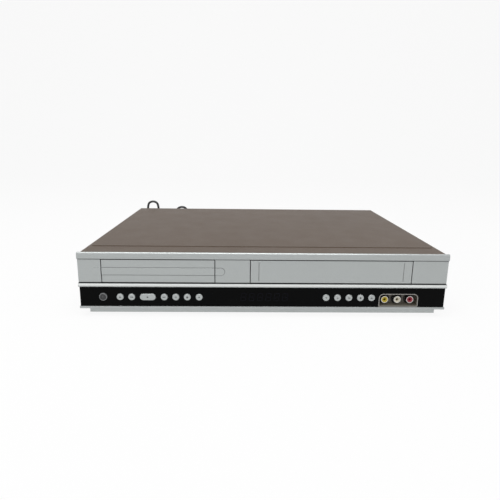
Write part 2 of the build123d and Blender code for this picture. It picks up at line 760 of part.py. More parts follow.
def rack_outline(y0, y1):
    """A rack in (x, y) that faces +X: its gaps fall on the gear's axis and a whole pitch either way."""
    pitch = math.pi * gear_module
    lean = math.tan(math.radians(20))
    half = pitch / 4 * (1 - gear_slack)
    tip, root = rack_x + 0.9 * gear_module, rack_x - 1.25 * gear_module
    first = math.ceil((y0 + half * 2 - gear_y) / pitch - 0.5)
    last = math.floor((y1 - half * 2 - gear_y) / pitch - 0.5)
    points = [(rack_x - 3.2, y0), (root, y0)]
    for k in range(first, last + 1):
        middle = gear_y + (k + 0.5) * pitch
        root_half, tip_half = half + 1.25 * gear_module * lean, half - 0.9 * gear_module * lean
        points += [(root, middle - root_half), (tip, middle - tip_half)]
        points += [(tip, middle + tip_half), (root, middle + root_half)]
    points += [(root, y1), (rack_x - 3.2, y1)]
    return make_face(Polyline(*points, close=True))


def make_disc_tray():
    """Sliding tray with seats for two disc sizes, a slot for the pickup and a rack under its left edge."""
    rear_y0 = tray_front_y + tray_length
    tray = block(tray_x - tray_half, tray_x + tray_half, tray_front_y, rear_y0, tray_z, tray_top)
    tray = fillet(tray.edges().filter_by(Axis.Z).group_by(Axis.Y)[-1], 5.0)
    tray -= rod_z(tray_x, disc_y, tray_z + 3.2, tray_top + 1, disc_seat)
    tray -= rod_z(tray_x, disc_y, tray_z + 2.0, tray_top + 1, small_disc_seat)
    slot_end = disc_y + pickup_start + pickup_travel + 14.0
    tray -= block(tray_x - lens_slot_half, tray_x + lens_slot_half, disc_y - 19.0, slot_end, tray_z - 1, tray_top + 1)
    tray -= rod_z(tray_x, disc_y, tray_z - 1, tray_top + 1, 19.0)
    rack = along_z(rack_outline(tray_front_y + 12.0, rear_y0 - 4.0), tray_z - 3.5, tray_z + 0.5)
    return tray + rack


def make_loader_frame():
    """Moulded frame that the tray slides in: floor, two walls with ledges and keepers, gear post and hinge lugs."""
    x0, x1 = tray_x - loader_half, tray_x + loader_half
    floor_top = loader_z + loader_floor
    frame = block(x0, x1, loader_y, loader_rear_y, loader_z, floor_top)
    frame -= block(tray_x - 26, tray_x + 26, disc_y - 20, disc_y + 84, loader_z - 1, floor_top + 1)
    for side in (-1, 1):
        xs = sorted((tray_x + side * loader_inner, tray_x + side * loader_half))
        frame += block(*xs, loader_y, loader_rear_y, loader_z, loader_top)
        xs = sorted((tray_x + side * (tray_half - 3.4), tray_x + side * (loader_inner + 0.1)))
        frame += block(*xs, loader_y, loader_rear_y, tray_z - tray_lift_gap - 1.9, tray_z - tray_lift_gap)
        xs = sorted((tray_x + side * (tray_half - 3.0), tray_x + side * (loader_inner + 0.1)))
        for y in (loader_y + 4, loader_y + 34, loader_y + 64):
            frame += block(*xs, y, y + 12, tray_top + 0.4, tray_top + 2.0)
        xs = sorted((tray_x + side * (traverse_half + 4.0), tray_x + side * (traverse_half + 8.0)))
        lug = block(*xs, hinge_y - 4, hinge_y + 4, floor_top - 0.5, traverse_z + traverse_thick + 1.6)
        frame += lug - rod_x(xs[0] - 1, xs[1] + 1, hinge_y, hinge_z, 1.0 + axle_gap)
    frame += block(x0, x1, loader_rear_y - loader_wall, loader_rear_y, loader_z, tray_top + 4)
    frame += block(x0, x1, loader_y, loader_y + 3.5, loader_z, tray_z - 4.5)
    frame -= rod_z(pinion_x, gear_y, loader_z - 1, floor_top + 1, 4.0)
    return frame + rod_z(gear_x, gear_y, floor_top - 0.5, gear_z + gear_height + 0.4, 2.0 - axle_gap)


def make_tray_gear():
    gear = along_z(gear_outline(tray_gear_teeth, gear_slack), gear_z, gear_z + gear_height)
    gear += rod_z(0, 0, gear_z - 4.5, gear_z + 0.5, 4.0)
    return Pos(gear_x, gear_y) * (gear - rod_z(0, 0, gear_z - 9, gear_z + gear_height + 1, 2.0))


def make_motor_pinion():
    """Small gear on the motor's shaft, turned half a tooth so that it meshes with the tray gear."""
    gear = Rot(0, 0, 180 / pinion_teeth) * along_z(gear_outline(pinion_teeth, gear_slack), gear_z, gear_z + gear_height)
    return Pos(pinion_x, gear_y) * (gear - rod_z(0, 0, gear_z - 1, gear_z + gear_height + 1, 1.0 + axle_gap))


def make_loader_motor():
    """Round motor under the frame's floor, with its shaft up through the floor."""
    body = rod_z(pinion_x, gear_y, loader_z - 17.0, loader_z, 9.6)
    body -= block(pinion_x - 12, pinion_x + 12, gear_y + 7.8, gear_y + 12, loader_z - 18, loader_z + 1)
    return body + rod_z(pinion_x, gear_y, loader_z - 19.0, gear_z + gear_height + 0.5, 1.0)


hinge_z = traverse_z + traverse_thick / 2
turntable_top = tray_z - 1.0
rod_z_level = traverse_z + 5.6
bridge_z = loader_top
bridge_half = 16.0
clamp_neck = 10.0


def make_traverse_frame():
    """Hinged plate that lifts the spindle to the disc: hinge pins behind, spindle motor in front, two guide rods."""
    y0 = disc_y - traverse_front
    top = traverse_z + traverse_thick
    x0, x1 = tray_x - traverse_half, tray_x + traverse_half
    plate = block(x0, x1, y0, hinge_y + 1.2, traverse_z, top)
    plate -= block(tray_x - 15, tray_x + 15, disc_y + 15, hinge_y - 14, traverse_z - 1, top + 1)
    plate += rod_z(tray_x, disc_y, traverse_z - 4.0, top, 12.5)
    plate += rod_z(tray_x, disc_y, top - 0.1, turntable_top - 1.6, 1.2)
    plate += rod_x(x0 - 7.5, x1 + 7.5, hinge_y, hinge_z, 1.0)
    rod_y0, rod_y1 = disc_y + 8.0, hinge_y - 8.0
    for x in mirrored(tray_x, guide_rod_half):
        plate += rod_y(x, rod_y0, rod_y1, rod_z_level, guide_rod_radius)
        for y in (rod_y0, rod_y1 - 3.0):
            plate += block(x - 3, x + 3, y, y + 3, top - 0.1, rod_z_level + 2.4)
    return plate


def make_turntable():
    """Flat ring with a raised hub, on the spindle motor's shaft."""
    flange_z = turntable_top - 3.1
    table = rod_z(tray_x, disc_y, flange_z, flange_z + 1.5, 13.2)
    table += rod_z(tray_x, disc_y, flange_z - 3.0, turntable_top, 7.4)
    table = chamfer(table.edges().group_by(Axis.Z)[-1], 0.8)
    return table - rod_z(tray_x, disc_y, flange_z - 4, turntable_top - 1.4, 1.2 + axle_gap)


def make_optical_pickup():
    """Sled on the two guide rods with a lens on its top."""
    y0 = disc_y + pickup_start - 9.5
    y1 = y0 + 20.0
    half = guide_rod_half + 3.6
    low = traverse_z + traverse_thick + 0.5
    sled = block(tray_x - half, tray_x + half, y0, y1, low, rod_z_level + 2.2)
    sled += block(tray_x - 13, tray_x + 13, y0, y1, low, rod_z_level + 3.2)
    sled += rod_z(tray_x, disc_y + pickup_start, rod_z_level + 3.1, rod_z_level + 4.4, 4.0)
    for x in mirrored(tray_x, guide_rod_half):
        sled -= rod_y(x, y0 - 1, y1 + 1, rod_z_level, guide_rod_radius + axle_gap)
    return sled


def make_clamp_bridge():
    """Bridge across the frame's walls, with the hole that the clamp hangs in."""
    bridge = block(tray_x - loader_half, tray_x + loader_half, disc_y - bridge_half, disc_y + bridge_half,
                   bridge_z, bridge_z + 1.2)
    return bridge - rod_z(tray_x, disc_y, bridge_z - 1, bridge_z + 2, clamp_neck + 1.5)


def make_disc_clamp():
    """Loose puck that hangs by its upper rim and presses the disc on the turntable."""
    puck = rod_z(tray_x, disc_y, bridge_z - 9.4, bridge_z - 2.5, 15.0)
    puck += rod_z(tray_x, disc_y, bridge_z - 2.6, bridge_z + 1.4, clamp_neck)
    return puck + rod_z(tray_x, disc_y, bridge_z + 1.3, bridge_z + 2.8, clamp_neck + 4.0)


# ---- tape drive ----------------------------------------------------------------------------------------
capstan_x, capstan_y = tape_door_x + capstan_offset[0], drum_y + capstan_offset[1]
pivot_x, pivot_y = tape_door_x + pinch_pivot_offset[0], drum_y + pinch_pivot_offset[1]
slide_pin_z = cassette_z + 17.7
slide_pins_y = (holder_y + 33.0, holder_y + 67.0)
holder_pins_y = (holder_y + 13.0, holder_y + 87.0)
holder_pin_z = cassette_z + 19.7
slide_top = holder_top - 1.0
slide_bottom = holder_pin_z - holder_drop - slide_pin - 2.5
bracket_top = holder_top + 3.0
shaft_radius = 2.0


def guide_place(side, share):
    """A tape guide's place on the deck, from share 0 beside the cassette to 1 beside the drum."""
    x = guide_start[0] + share * (guide_end[0] - guide_start[0])
    y = guide_start[1] + share * (guide_end[1] - guide_start[1])
    return tape_door_x + side * x, drum_y + y


def guide_slot(side):
    """The slot in the deck, in (x, y), that a guide base runs in."""
    travel = math.dist(guide_place(side, 0), guide_place(side, 1))
    return SlotOverall(travel + guide_key_length + 2 * guide_key_gap, guide_key_width + 2 * guide_key_gap)


def on_guide_line(side, share):
    """A placement at a tape guide's place, turned along its way."""
    (x0, y0), (x1, y1) = guide_place(side, 0), guide_place(side, 1)
    angle = math.degrees(math.atan2(y1 - y0, x1 - x0))
    return Pos(*guide_place(side, share)) * Rot(0, 0, angle)


def make_deck_plate():
    """Steel plate that carries the whole tape drive, with side brackets for the holder."""
    x0, x1 = tape_door_x - deck_half, tape_door_x + deck_half
    rear = deck_y + deck_length
    deck = block(x0, x1, deck_y, rear, deck_z, deck_top)
    for side in (-1, 1):
        deck -= along_z(on_guide_line(side, 0.5) * guide_slot(side), deck_z - 1, deck_top + 1)
        xs = sorted((tape_door_x + side * bracket_inner, tape_door_x + side * deck_half))
        bracket = block(*xs, deck_y, holder_y + holder_length + holder_travel + 6.0, deck_z, bracket_top)
        slot_y0 = slide_pins_y[0] - slide_pin - slot_gap
        slot_y1 = slide_pins_y[1] + holder_travel + slide_pin + slot_gap
        bracket -= block(xs[0] - 1, xs[1] + 1, slot_y0, slot_y1, slide_pin_z - slide_pin - slot_gap,
                         slide_pin_z + slide_pin + slot_gap)
        bracket -= block(xs[0] - 1, xs[1] + 1, deck_y + 14, deck_y + 120, deck_top + 4, slide_bottom - 2)
        deck += bracket
        deck += rod_z(tape_door_x + side * reel_half_pitch, reel_y, deck_top - 0.5, deck_top + 11, shaft_radius)
    deck += rod_z(capstan_x, capstan_y, deck_z - 2.6, deck_top + 0.6, 4.5)
    deck -= rod_z(capstan_x, capstan_y, deck_z - 3, deck_top + 1, capstan_radius + axle_gap)
    deck += rod_z(pivot_x, pivot_y, deck_top - 0.5, deck_top + 7.4, shaft_radius)
    return deck


drum_z = deck_top + 13.8
drum_frame = Pos(tape_door_x, drum_y, drum_z) * Rot(-drum_tilt, 0, 0)


def make_lower_drum():
    """Fixed half of the leaning head drum, on a pedestal from the deck, with the shaft of the upper half."""
    drum = drum_frame * along_z(Circle(drum_radius), -lower_drum_height / 2, lower_drum_height / 2)
    drum += rod_z(tape_door_x, drum_y, deck_top, drum_z, drum_radius / 2)
    return drum + drum_frame * along_z(Circle(3.0), 0, lower_drum_height / 2 + drum_gap + 12.0)


def make_upper_drum():
    """Turning half of the head drum: a closed cup with a boss, on the lower drum's shaft."""
    z0 = lower_drum_height / 2 + drum_gap
    z1 = z0 + upper_drum_height
    drum = along_z(Circle(drum_radius), z0, z0 + 9.0) + along_z(Circle(12.0), z0, z1)
    drum += along_z(Circle(drum_radius * 0.72), z0 + 8.9, z0 + 14.0)
    return drum_frame * (drum - along_z(Circle(3.0 + axle_gap), z0 - 1, z0 + 13.0))


def make_holder_slides():
    """Two upright plates that run back in the brackets; the holder sinks in their upright slots."""
    slides = []
    for side in (-1, 1):
        xs = sorted((tape_door_x + side * slide_inner, tape_door_x + side * (slide_inner + holder_sheet)))
        plate = block(*xs, holder_y, holder_y + holder_length, slide_bottom, slide_top)
        for y in holder_pins_y:
            reach = slide_pin + slot_gap
            plate -= block(xs[0] - 1, xs[1] + 1, y - reach, y + reach, holder_pin_z - holder_drop - reach,
                           holder_pin_z + reach)
        pins = sorted((tape_door_x + side * (slide_inner + 0.5), tape_door_x + side * (deck_half + 0.7)))
        for y in slide_pins_y:
            plate += rod_x(*pins, y, slide_pin_z, slide_pin)
        slides.append(plate)
    return group(slides)


def make_cassette_holder():
    """Folded sheet basket, open in front and behind: top plate, two sides and a narrow ledge under each edge."""
    rear = holder_y + holder_length
    holder = block(tape_door_x - holder_half, tape_door_x + holder_half, holder_y, rear, holder_top,
                   holder_top + holder_sheet)
    holder -= block(tape_door_x - 40, tape_door_x + 40, holder_y + 30, rear - 24, holder_top - 1, holder_top + 3)
    for side in (-1, 1):
        xs = sorted((tape_door_x + side * holder_inner, tape_door_x + side * holder_half))
        holder += block(*xs, holder_y, rear, holder_z, holder_top + 0.1)
        xs = sorted((tape_door_x + side * (holder_inner - 7.0), tape_door_x + side * holder_half))
        holder += block(*xs, holder_y, rear, holder_z, cassette_z)
        pins = sorted((tape_door_x + side * (holder_half - 0.5), tape_door_x + side * (slide_inner + holder_sheet)))
        for y in holder_pins_y:
            holder += rod_x(*pins, y, holder_pin_z, slide_pin)
    return holder


def make_reel(side):
    """Reel table: toothed rim, raised hub and a three-finned spindle, on a fixed pin."""
    base = deck_top + 0.4
    reel = along_z(Circle(reel_radius), base, base + 2.2) + along_z(Circle(12.0), base, base + 5.0)
    reel += along_z(Circle(5.0), base, deck_top + 14.4)
    for k in range(3):
        reel += Rot(0, 0, 120 * k) * block(3, 8.6, -1, 1, base + 4, deck_top + 13.0)
    reel -= along_z(Circle(shaft_radius + axle_gap), base - 1, deck_top + 11.5)
    for k in range(6):
        reel -= Rot(0, 0, 60 * k + 30) * rod_z(16.5, 0, base - 1, base + 3, 2.6)
    return Pos(tape_door_x + side * reel_half_pitch, reel_y) * reel


def make_capstan_rotor():
    """Flywheel below the deck and the thin shaft that drives the tape."""
    top = deck_z - 3.0
    wheel = rod_z(capstan_x, capstan_y, top - flywheel_thick, top, flywheel_radius)
    wheel -= rod_z(capstan_x, capstan_y, top - 2.0, top + 1, flywheel_radius - 4) - rod_z(
        capstan_x, capstan_y, top - 2.0, top + 1, 7.0)
    return wheel + rod_z(capstan_x, capstan_y, top - flywheel_thick - 1, deck_top + 25, capstan_radius)


def pinch_roller_place():
    """Where the roller rests: the place that touches the capstan, swung back by the arm's stroke."""
    to_capstan = math.hypot(capstan_x - pivot_x, capstan_y - pivot_y)
    reach = pinch_roller_radius + capstan_radius + pinch_touch_gap
    cosine = (to_capstan**2 + pinch_arm_length**2 - reach**2) / (2 * to_capstan * pinch_arm_length)
    angle = math.atan2(capstan_y - pivot_y, capstan_x - pivot_x) + math.acos(cosine) + math.radians(pinch_swing)
    return pivot_x + pinch_arm_length * math.cos(angle), pivot_y + pinch_arm_length * math.sin(angle)


roller_x, roller_y = pinch_roller_place()


def make_pinch_arm():
    """Flat arm on a fixed pin, with the roller's axle at its free end."""
    z0, z1 = deck_top + 1.0, deck_top + 3.4
    middle = Pos((pivot_x + roller_x) / 2, (pivot_y + roller_y) / 2)
    angle = math.degrees(math.atan2(roller_y - pivot_y, roller_x - pivot_x))
    arm = along_z(middle * Rot(0, 0, angle) * SlotCenterToCenter(pinch_arm_length, 9.0), z0, z1)
    arm += rod_z(pivot_x, pivot_y, z0, deck_top + 7.0, 4.2)
    arm += rod_z(roller_x, roller_y, z0, deck_top + 19.5, 1.5)
    return arm - rod_z(pivot_x, pivot_y, z0 - 1, deck_top + 8, shaft_radius + axle_gap)


def make_pinch_roller():
    roller = rod_z(roller_x, roller_y, deck_top + 4.0, deck_top + 18.5, pinch_roller_radius)
    return roller - rod_z(roller_x, roller_y, deck_top + 3, deck_top + 20, 1.5 + axle_gap)


def make_guide_base(side):
    """Sliding base with a key in the deck's slot, an upright guide roller and a thin leaning pin."""
    z0 = deck_top + 0.2
    base = along_z(RectangleRounded(14.0, 11.0, 3.0), z0, z0 + 4.0)
    base += along_z(SlotOverall(guide_key_length, guide_key_width), deck_z - 0.6, z0 + 0.1)
    base += along_z(Circle(3.4), z0 + 3.9, z0 + 5.4) + along_z(Circle(2.6), z0 + 5.3, z0 + 4 + guide_post_height)
    base += along_z(Circle(3.4), z0 + 3 + guide_post_height, z0 + 4.5 + guide_post_height)
    base += Pos(-4.6, 0, z0 + 3.8) * Rot(0, -8, 0) * along_z(Circle(1.0), 0, 12.0)
    return on_guide_line(side, 0) * base


# ---- boards --------------------------------------------------------------------------------------------
main_board_x0, main_board_x1 = tray_x + loader_half + 9.0, inside_half - pan_sheet - 5.0
main_board_y0, main_board_y1 = deck_y + board_front_gap, panel_inner_y - board_edge_gap
power_board_x0, power_board_x1 = -inside_half + pan_sheet + 6.0, main_board_x0 - 8.0
power_board_y0 = loader_rear_y + 6.0
board_posts = [(x, y) for x in (main_board_x0 + 6, main_board_x1 - 6) for y in (main_board_y0 + 6, main_board_y1 - 6)]
board_posts += [(x, y) for x in (power_board_x0 + 6, power_board_x1 - 6)
                for y in (power_board_y0 + 6, main_board_y1 - 6)]


def chips(places, size, thick):
    """Square packages on top of a board."""
    return [block(x - size / 2, x + size / 2, y - size / 2, y + size / 2, board_top - 0.1, board_top + thick)
            for x, y in places]


def make_main_board():
    """Signal board with chips, connectors and the screened tuner behind the aerial connectors."""
    board = block(main_board_x0, main_board_x1, main_board_y0, main_board_y1, board_z, board_top)
    left, front = main_board_x0 + chip_size, main_board_y0 + chip_size
    board += chips([(left, front), (left, front + 2 * chip_size), (left + 2 * chip_size, front)], chip_size, 1.8)
    small_y = [front + (2 + 2 * k) * small_chip_size for k in range(4)]
    board += chips([(left + 2 * chip_size, y) for y in small_y], small_chip_size, 1.5)
    tuner_y1 = panel_inner_y - 3.0
    board += block(aerial_x - 10.0, main_board_x1 - 1.0, tuner_y1 - 42.0, tuner_y1, board_top - 0.1,
                   aerial_rows[-1] + 9.0)
    return board - [rod_z(x, y, board_z - 1, deck_z, post_radius + 1) for x, y in deck_posts]


def make_power_board():
    """Mains board with a transformer, a heat sink and round capacitors."""
    board = block(power_board_x0, power_board_x1, power_board_y0, main_board_y1, board_z, board_top)
    x, y = power_board_x0 + 36, power_board_y0 + 30
    low = board_top - 0.1
    parts = [block(x - 17, x + 17, y - 15, y + 15, low, board_top + 8), block(x - 13, x + 13, y - 19, y + 19, low + 6,
                                                                             board_top + 26)]
    parts += [rod_z(x + 42 + k * 18, y - 6, low, board_top + 24 - 3 * k, 7.5) for k in range(3)]
    parts += [block(x + 30, x + 92, y + 20, y + 22, low, board_top + 28)]
    parts += [block(x + 30 + k * 12, x + 31.5 + k * 12, y + 22, y + 30, low, board_top + 28) for k in range(6)]
    return board + parts


def make_front_board():
    """Upright board behind the strip, with a switch for every button."""
    x0, x1 = standby_x - 10.0, pocket_right + 4.0
    board = block(x0, x1, board_y, board_y + board_thick, front_board_z, front_board_top)
    for x in [*round_buttons.values(), standby_x, play_x]:
        reach = switch_size / 2
        board += block(x - reach, x + reach, board_y - switch_thick + 1.0, board_y + 0.1, button_z - reach,
                       button_z + reach)
        board += rod_y(x, board_y - switch_thick, board_y, button_z, 1.7)
    return board


def make_display_module():
    """Display block between the strip and the front board."""
    body = block(display_x0, display_x1, ledge_y + 0.4, board_y, display_z0, display_z1)
    return body - block(display_x0 + 3, display_x1 - 3, ledge_y, ledge_y + 1.0, display_z0 + 3, display_z1 - 3)


# ---- mains lead ----------------------------------------------------------------------------------------
cord_radius = cord_diameter / 2
gland_end_y = rear_y + gland_reach
hank_y = [hank_rear_y - k * hank_pitch for k in range(hank_turns + 1)]
hank_right = hank_x + hank_half
hank_left = hank_x - hank_half
hank_floor_z = cord_radius + 0.1 + hank_half
hank_end_z = hank_start_z + 8.0
lead_route = [
    (gland_x, gland_end_y, gland_z),
    (gland_x, gland_end_y + 9.3, gland_z),
    (-128.6, 168.0, 44.5),
    (-130.8, 173.0, 55.5),
    (-136.8, 172.5, 72.6),
    (-151.6, 171.5, 72.6),
    (-158.5, 171.0, 58.5),
    (-167.0, 171.6, 50.5),
    (-178.2, 172.2, 46.0),
    (hank_right, hank_rear_y, 35.0),
    (hank_right, hank_rear_y, hank_start_z),
]
plug_x = -145.0
plug_z = plug_height / 2
tail_route = [
    (hank_right, hank_y[-1], hank_end_z),
    (hank_right, hank_y[-1], 19.6),
    (-181.2, hank_y[-1] + 0.4, 9.4),
    (-172.0, hank_y[-1] + 3.0, 5.0),
    (-159.0, hank_y[-1] + 8.0, plug_z),
    (plug_x, hank_y[-1] + 8.0, plug_z),
]
plug_y = hank_y[-1] + 8.0


def corner_radii(route):
    """At each inner point, the largest arc that its two runs leave room for."""
    radii = []
    for before, here, after in zip(route, route[1:], route[2:]):
        turn = (Vector(*here) - Vector(*before)).get_angle(Vector(*after) - Vector(*here))
        shorter = min(math.dist(before, here), math.dist(here, after))
        radii.append(0.45 * shorter / math.tan(math.radians(turn / 2)))
    return radii


def make_tube(path, name):
    """A round cord along a path, with its volume set against its section times its length."""
    start = Plane(origin=path @ 0, z_dir=path % 0)
    tube = sweep(start * Circle(cord_radius), path=path)
    ideal = math.pi * cord_radius**2 * path.length
    print(f"{name}: {path.length:.0f} mm long, volume {tube.volume / ideal:.4f} of section times length")
    return tube


def make_routed_tube(route, name):
    """A cord along straight runs joined by tangent arcs."""
    radii = corner_radii(route)
    print(f"{name}: arc radii {', '.join(f'{radius:.0f}' for radius in radii)}")
    return make_tube(FilletPolyline(*route, radius=radii), name)


def turn_top(turn):
    """Centreline height at the top of a turn: one stands tall, the others differ a little."""
    if turn == hank_tall_turn:
        return hank_tall_top
    return hank_low_top + hank_low_spread * math.sin(2.4 * turn)


def hank_path():
    """The hank's turns in one line: down the right, round the foot, up the left while stepping forward, over."""
    edges = [Line((hank_right, hank_y[0], hank_start_z), (hank_right, hank_y[0], hank_floor_z))]
    low_z, climb_z = hank_floor_z, hank_low_top - hank_low_spread - hank_half - 1.0
    for turn in range(1, hank_turns + 1):
        y0, y1 = hank_y[turn - 1], hank_y[turn]
        arc_z = turn_top(turn) - hank_half
        edges.append(ThreePointArc((hank_right, y0, low_z), (hank_x, y0, low_z - hank_half), (hank_left, y0, low_z)))
        middle = Vector(hank_left, (y0 + y1) / 2, (low_z + climb_z) / 2)
        first = TangentArc((hank_left, y0, low_z), middle, tangent=(0, 0, 1))
        edges.append(first)
        edges.append(TangentArc(middle, (hank_left, y1, climb_z), tangent=first % 1))
        edges.append(Line((hank_left, y1, climb_z), (hank_left, y1, arc_z)))
        edges.append(ThreePointArc((hank_left, y1, arc_z), (hank_x, y1, arc_z + hank_half), (hank_right, y1, arc_z)))
        end_z = hank_end_z if turn == hank_turns else low_z
        edges.append(Line((hank_right, y1, arc_z), (hank_right, y1, end_z)))
    return Wire(edges)


def print_least_gap(path):
    """The hank's least distance to itself, measured on points that lie at least ten diameters apart along it."""
    steps = 1500
    points = [path @ (k / steps) for k in range(steps + 1)]
    apart = math.ceil(10 * cord_diameter / (path.length / steps))
    least = min((a - b).length for i, a in enumerate(points[::2]) for b in points[2 * i + apart::2])
    print(f"cord_hank: least gap {least - cord_diameter:.2f} mm")


def make_cord():
    """The free lead, the hank and the tail to the plug."""
    path = hank_path()
    print_least_gap(path)
    return {
        "cord_lead": make_routed_tube(lead_route, "cord_lead"),
        "cord_hank": make_tube(path, "cord_hank"),
        "cord_tail": make_routed_tube(tail_route, "cord_tail"),
    }


def make_cord_gland():
    """Rubber strain relief: a collar on the panel, a neck through it, and a tapered sleeve."""
    gland = rod_y(gland_x, rear_y, rear_y + 2.0, gland_z, 7.5)
    gland += rod_y(gland_x, panel_inner_y - 3.0, rear_y + 0.1, gland_z, gland_neck)
    centre = Pos(gland_x, gland_z)
    wide = Plane(origin=(0, rear_y + 1.9, 0), x_dir=(1, 0, 0), z_dir=(0, -1, 0)) * (centre * Circle(5.2))
    narrow = Plane(origin=(0, gland_end_y, 0), x_dir=(1, 0, 0), z_dir=(0, -1, 0)) * (centre * Circle(3.0))
    return gland + loft([wide, narrow])


def make_hank_tie():
    """Band round the middle of all the turns."""
    y0, y1 = hank_y[-1] - cord_radius - tie_gap, hank_y[0] + cord_radius + tie_gap
    width = 2 * (hank_half + cord_radius + tie_gap)
    centre = Pos(hank_x, (y0 + y1) / 2)
    band = RectangleRounded(width + 2 * tie_thick, y1 - y0 + 2 * tie_thick, cord_radius + tie_thick)
    band -= RectangleRounded(width, y1 - y0, cord_radius)
    z0 = hank_start_z + 0.6
    return along_z(centre * band, z0, z0 + tie_height)


def make_mains_plug():
    """Two-blade plug lying on the table: tapered neck, body and flat blades."""
    y, z = plug_y, plug_z
    body = block(plug_x + 9, plug_x + plug_length, y - plug_width / 2, y + plug_width / 2, 0, plug_height)
    body = fillet(body.edges().filter_by(Axis.X), 3.0)
    body = chamfer(body.faces().sort_by(Axis.X)[0].edges(), 1.5)
    neck = loft([Plane(origin=(plug_x, y, z), x_dir=(0, 1, 0), z_dir=(1, 0, 0)) * Circle(3.0),
                 Plane(origin=(plug_x + 9.5, y, z), x_dir=(0, 1, 0), z_dir=(1, 0, 0)) * Circle(4.6)])
    blades = [block(plug_x + plug_length - 1, plug_x + plug_length + blade_length, y + side - 0.75, y + side + 0.75,
                    z - 3.1, z + 3.1) for side in (-blade_half_pitch, blade_half_pitch)]
    return body + neck + blades


# ---- all nodes -----------------------------------------------------------------------------------------
jack_shells, jack_rings = make_jacks()
nodes = {
    "top_cover": make_top_cover(),
    "base_pan": make_base_pan(),
    "support_posts": make_support_posts(),
    "rear_panel": make_rear_panel(),
    "front_bezel": make_front_bezel(),
    "control_strip": make_control_strip(),
    "rubber_feet": make_rubber_feet(),
    "case_screws": make_case_screws(),
    **make_buttons(),
    "tape_door": make_tape_door(),
    "tray_front": make_tray_front(),
    "av_pocket": make_av_pocket(),
    "jack_shells": jack_shells,
    "jack_rings": jack_rings,
    "black_sockets": make_black_sockets(),
    "rf_connectors": make_rf_connectors(),
    "disc_tray": make_disc_tray(),
    "loader_frame": make_loader_frame(),
    "tray_gear": make_tray_gear(),
    "motor_pinion": make_motor_pinion(),
    "loader_motor": make_loader_motor(),
    "traverse_frame": make_traverse_frame(),
    "turntable": make_turntable(),
    "optical_pickup": make_optical_pickup(),
    "clamp_bridge": make_clamp_bridge(),
    "disc_clamp": make_disc_clamp(),
    "deck_plate": make_deck_plate(),
    "lower_drum": make_lower_drum(),
    "upper_drum": make_upper_drum(),
    "holder_slides": make_holder_slides(),
    "cassette_holder": make_cassette_holder(),
    "supply_reel": make_reel(-1),
    "takeup_reel": make_reel(1),
    "capstan_rotor": make_capstan_rotor(),
    "pinch_arm": make_pinch_arm(),
    "pinch_roller": make_pinch_roller(),
    "guide_base_supply": make_guide_base(-1),
    "guide_base_takeup": make_guide_base(1),
    "main_board": make_main_board(),
    "power_board": make_power_board(),
    "front_board": make_front_board(),
    "display_module": make_display_module(),
    "cord_gland": make_cord_gland(),
    **make_cord(),
    "hank_tie": make_hank_tie(),
    "mains_plug": make_mains_plug(),
}
for name, shape in nodes.items():
    export_step(shape, f"parts/{name}.step")
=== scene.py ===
import math

import bmesh
import bpy
import numpy as np
from mathutils import Matrix, Vector


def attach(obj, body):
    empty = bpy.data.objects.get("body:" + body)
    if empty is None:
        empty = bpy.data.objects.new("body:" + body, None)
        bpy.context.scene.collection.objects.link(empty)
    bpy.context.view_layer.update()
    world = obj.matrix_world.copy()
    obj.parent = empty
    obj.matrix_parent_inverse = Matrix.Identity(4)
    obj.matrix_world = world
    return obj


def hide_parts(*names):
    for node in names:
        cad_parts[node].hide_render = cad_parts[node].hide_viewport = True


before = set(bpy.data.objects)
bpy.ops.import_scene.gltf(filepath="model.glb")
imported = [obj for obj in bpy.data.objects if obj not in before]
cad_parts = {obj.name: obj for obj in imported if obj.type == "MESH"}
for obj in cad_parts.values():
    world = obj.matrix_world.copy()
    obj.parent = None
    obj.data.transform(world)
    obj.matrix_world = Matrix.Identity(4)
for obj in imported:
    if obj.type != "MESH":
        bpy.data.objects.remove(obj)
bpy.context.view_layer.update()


# ---- camera --------------------------------------------------------------------------------------------
# A fairly wide lens close to the player, a little left of its middle and looking down by eleven degrees.
# The picture is cut so that the lens axis lies above its middle, which is the small shift.
camera_data = bpy.data.cameras.new("camera")
camera_data.sensor_width = 36.0
camera_data.lens = 36.0 * 372.2 / 500
camera_data.shift_y = (208 - 250) / 500
camera_data.clip_start = 0.01
camera = bpy.data.objects.new("camera", camera_data)
yaw, pitch, roll = (math.radians(angle) for angle in (-1.19, 10.97, -0.75))
turns = ((yaw, "Z"), (math.pi / 2 - pitch, "X"), (-roll, "Z"))
pan, tilt, lean = (Matrix.Rotation(angle, 4, axis) for angle, axis in turns)
camera.matrix_world = Matrix.Translation((-0.0264, -0.5443, 0.2106)) @ pan @ tilt @ lean
bpy.context.scene.collection.objects.link(camera)
bpy.context.scene.camera = camera


# ---- stage ---------------------------------------------------------------------------------------------
# White paper that runs from under the player up into a wall, a broad soft light above it, a smaller one
# from the left, and a white room. The paper shows as white and keeps the player's soft shadow.
class Socket:
    """A shader socket: each operator adds the Math node that it stands for."""

    def __init__(self, finish, link):
        self.finish, self.link = finish, link

    def math(self, operation, *values):
        return self.finish.node("ShaderNodeMath", {"operation": operation}, dict(enumerate(values)))

    def __add__(self, other):
        return self.math("ADD", self, other)

    def __sub__(self, other):
        return self.math("SUBTRACT", self, other)

    def __rsub__(self, other):
        return self.math("SUBTRACT", other, self)

    def __mul__(self, other):
        return self.math("MULTIPLY", self, other)

    def __truediv__(self, other):
        return self.math("DIVIDE", self, other)

    def __pow__(self, other):
        return self.math("POWER", self, other)

    def __mod__(self, other):
        return self.math("FLOORED_MODULO", self, other)

    def __gt__(self, other):
        return self.math("GREATER_THAN", self, other)

    def __lt__(self, other):
        return self.math("LESS_THAN", self, other)

    def __abs__(self):
        return self.math("ABSOLUTE", self)

    def __or__(self, other):
        return self.math("MAXIMUM", self, other)

    __radd__, __rmul__ = __add__, __mul__


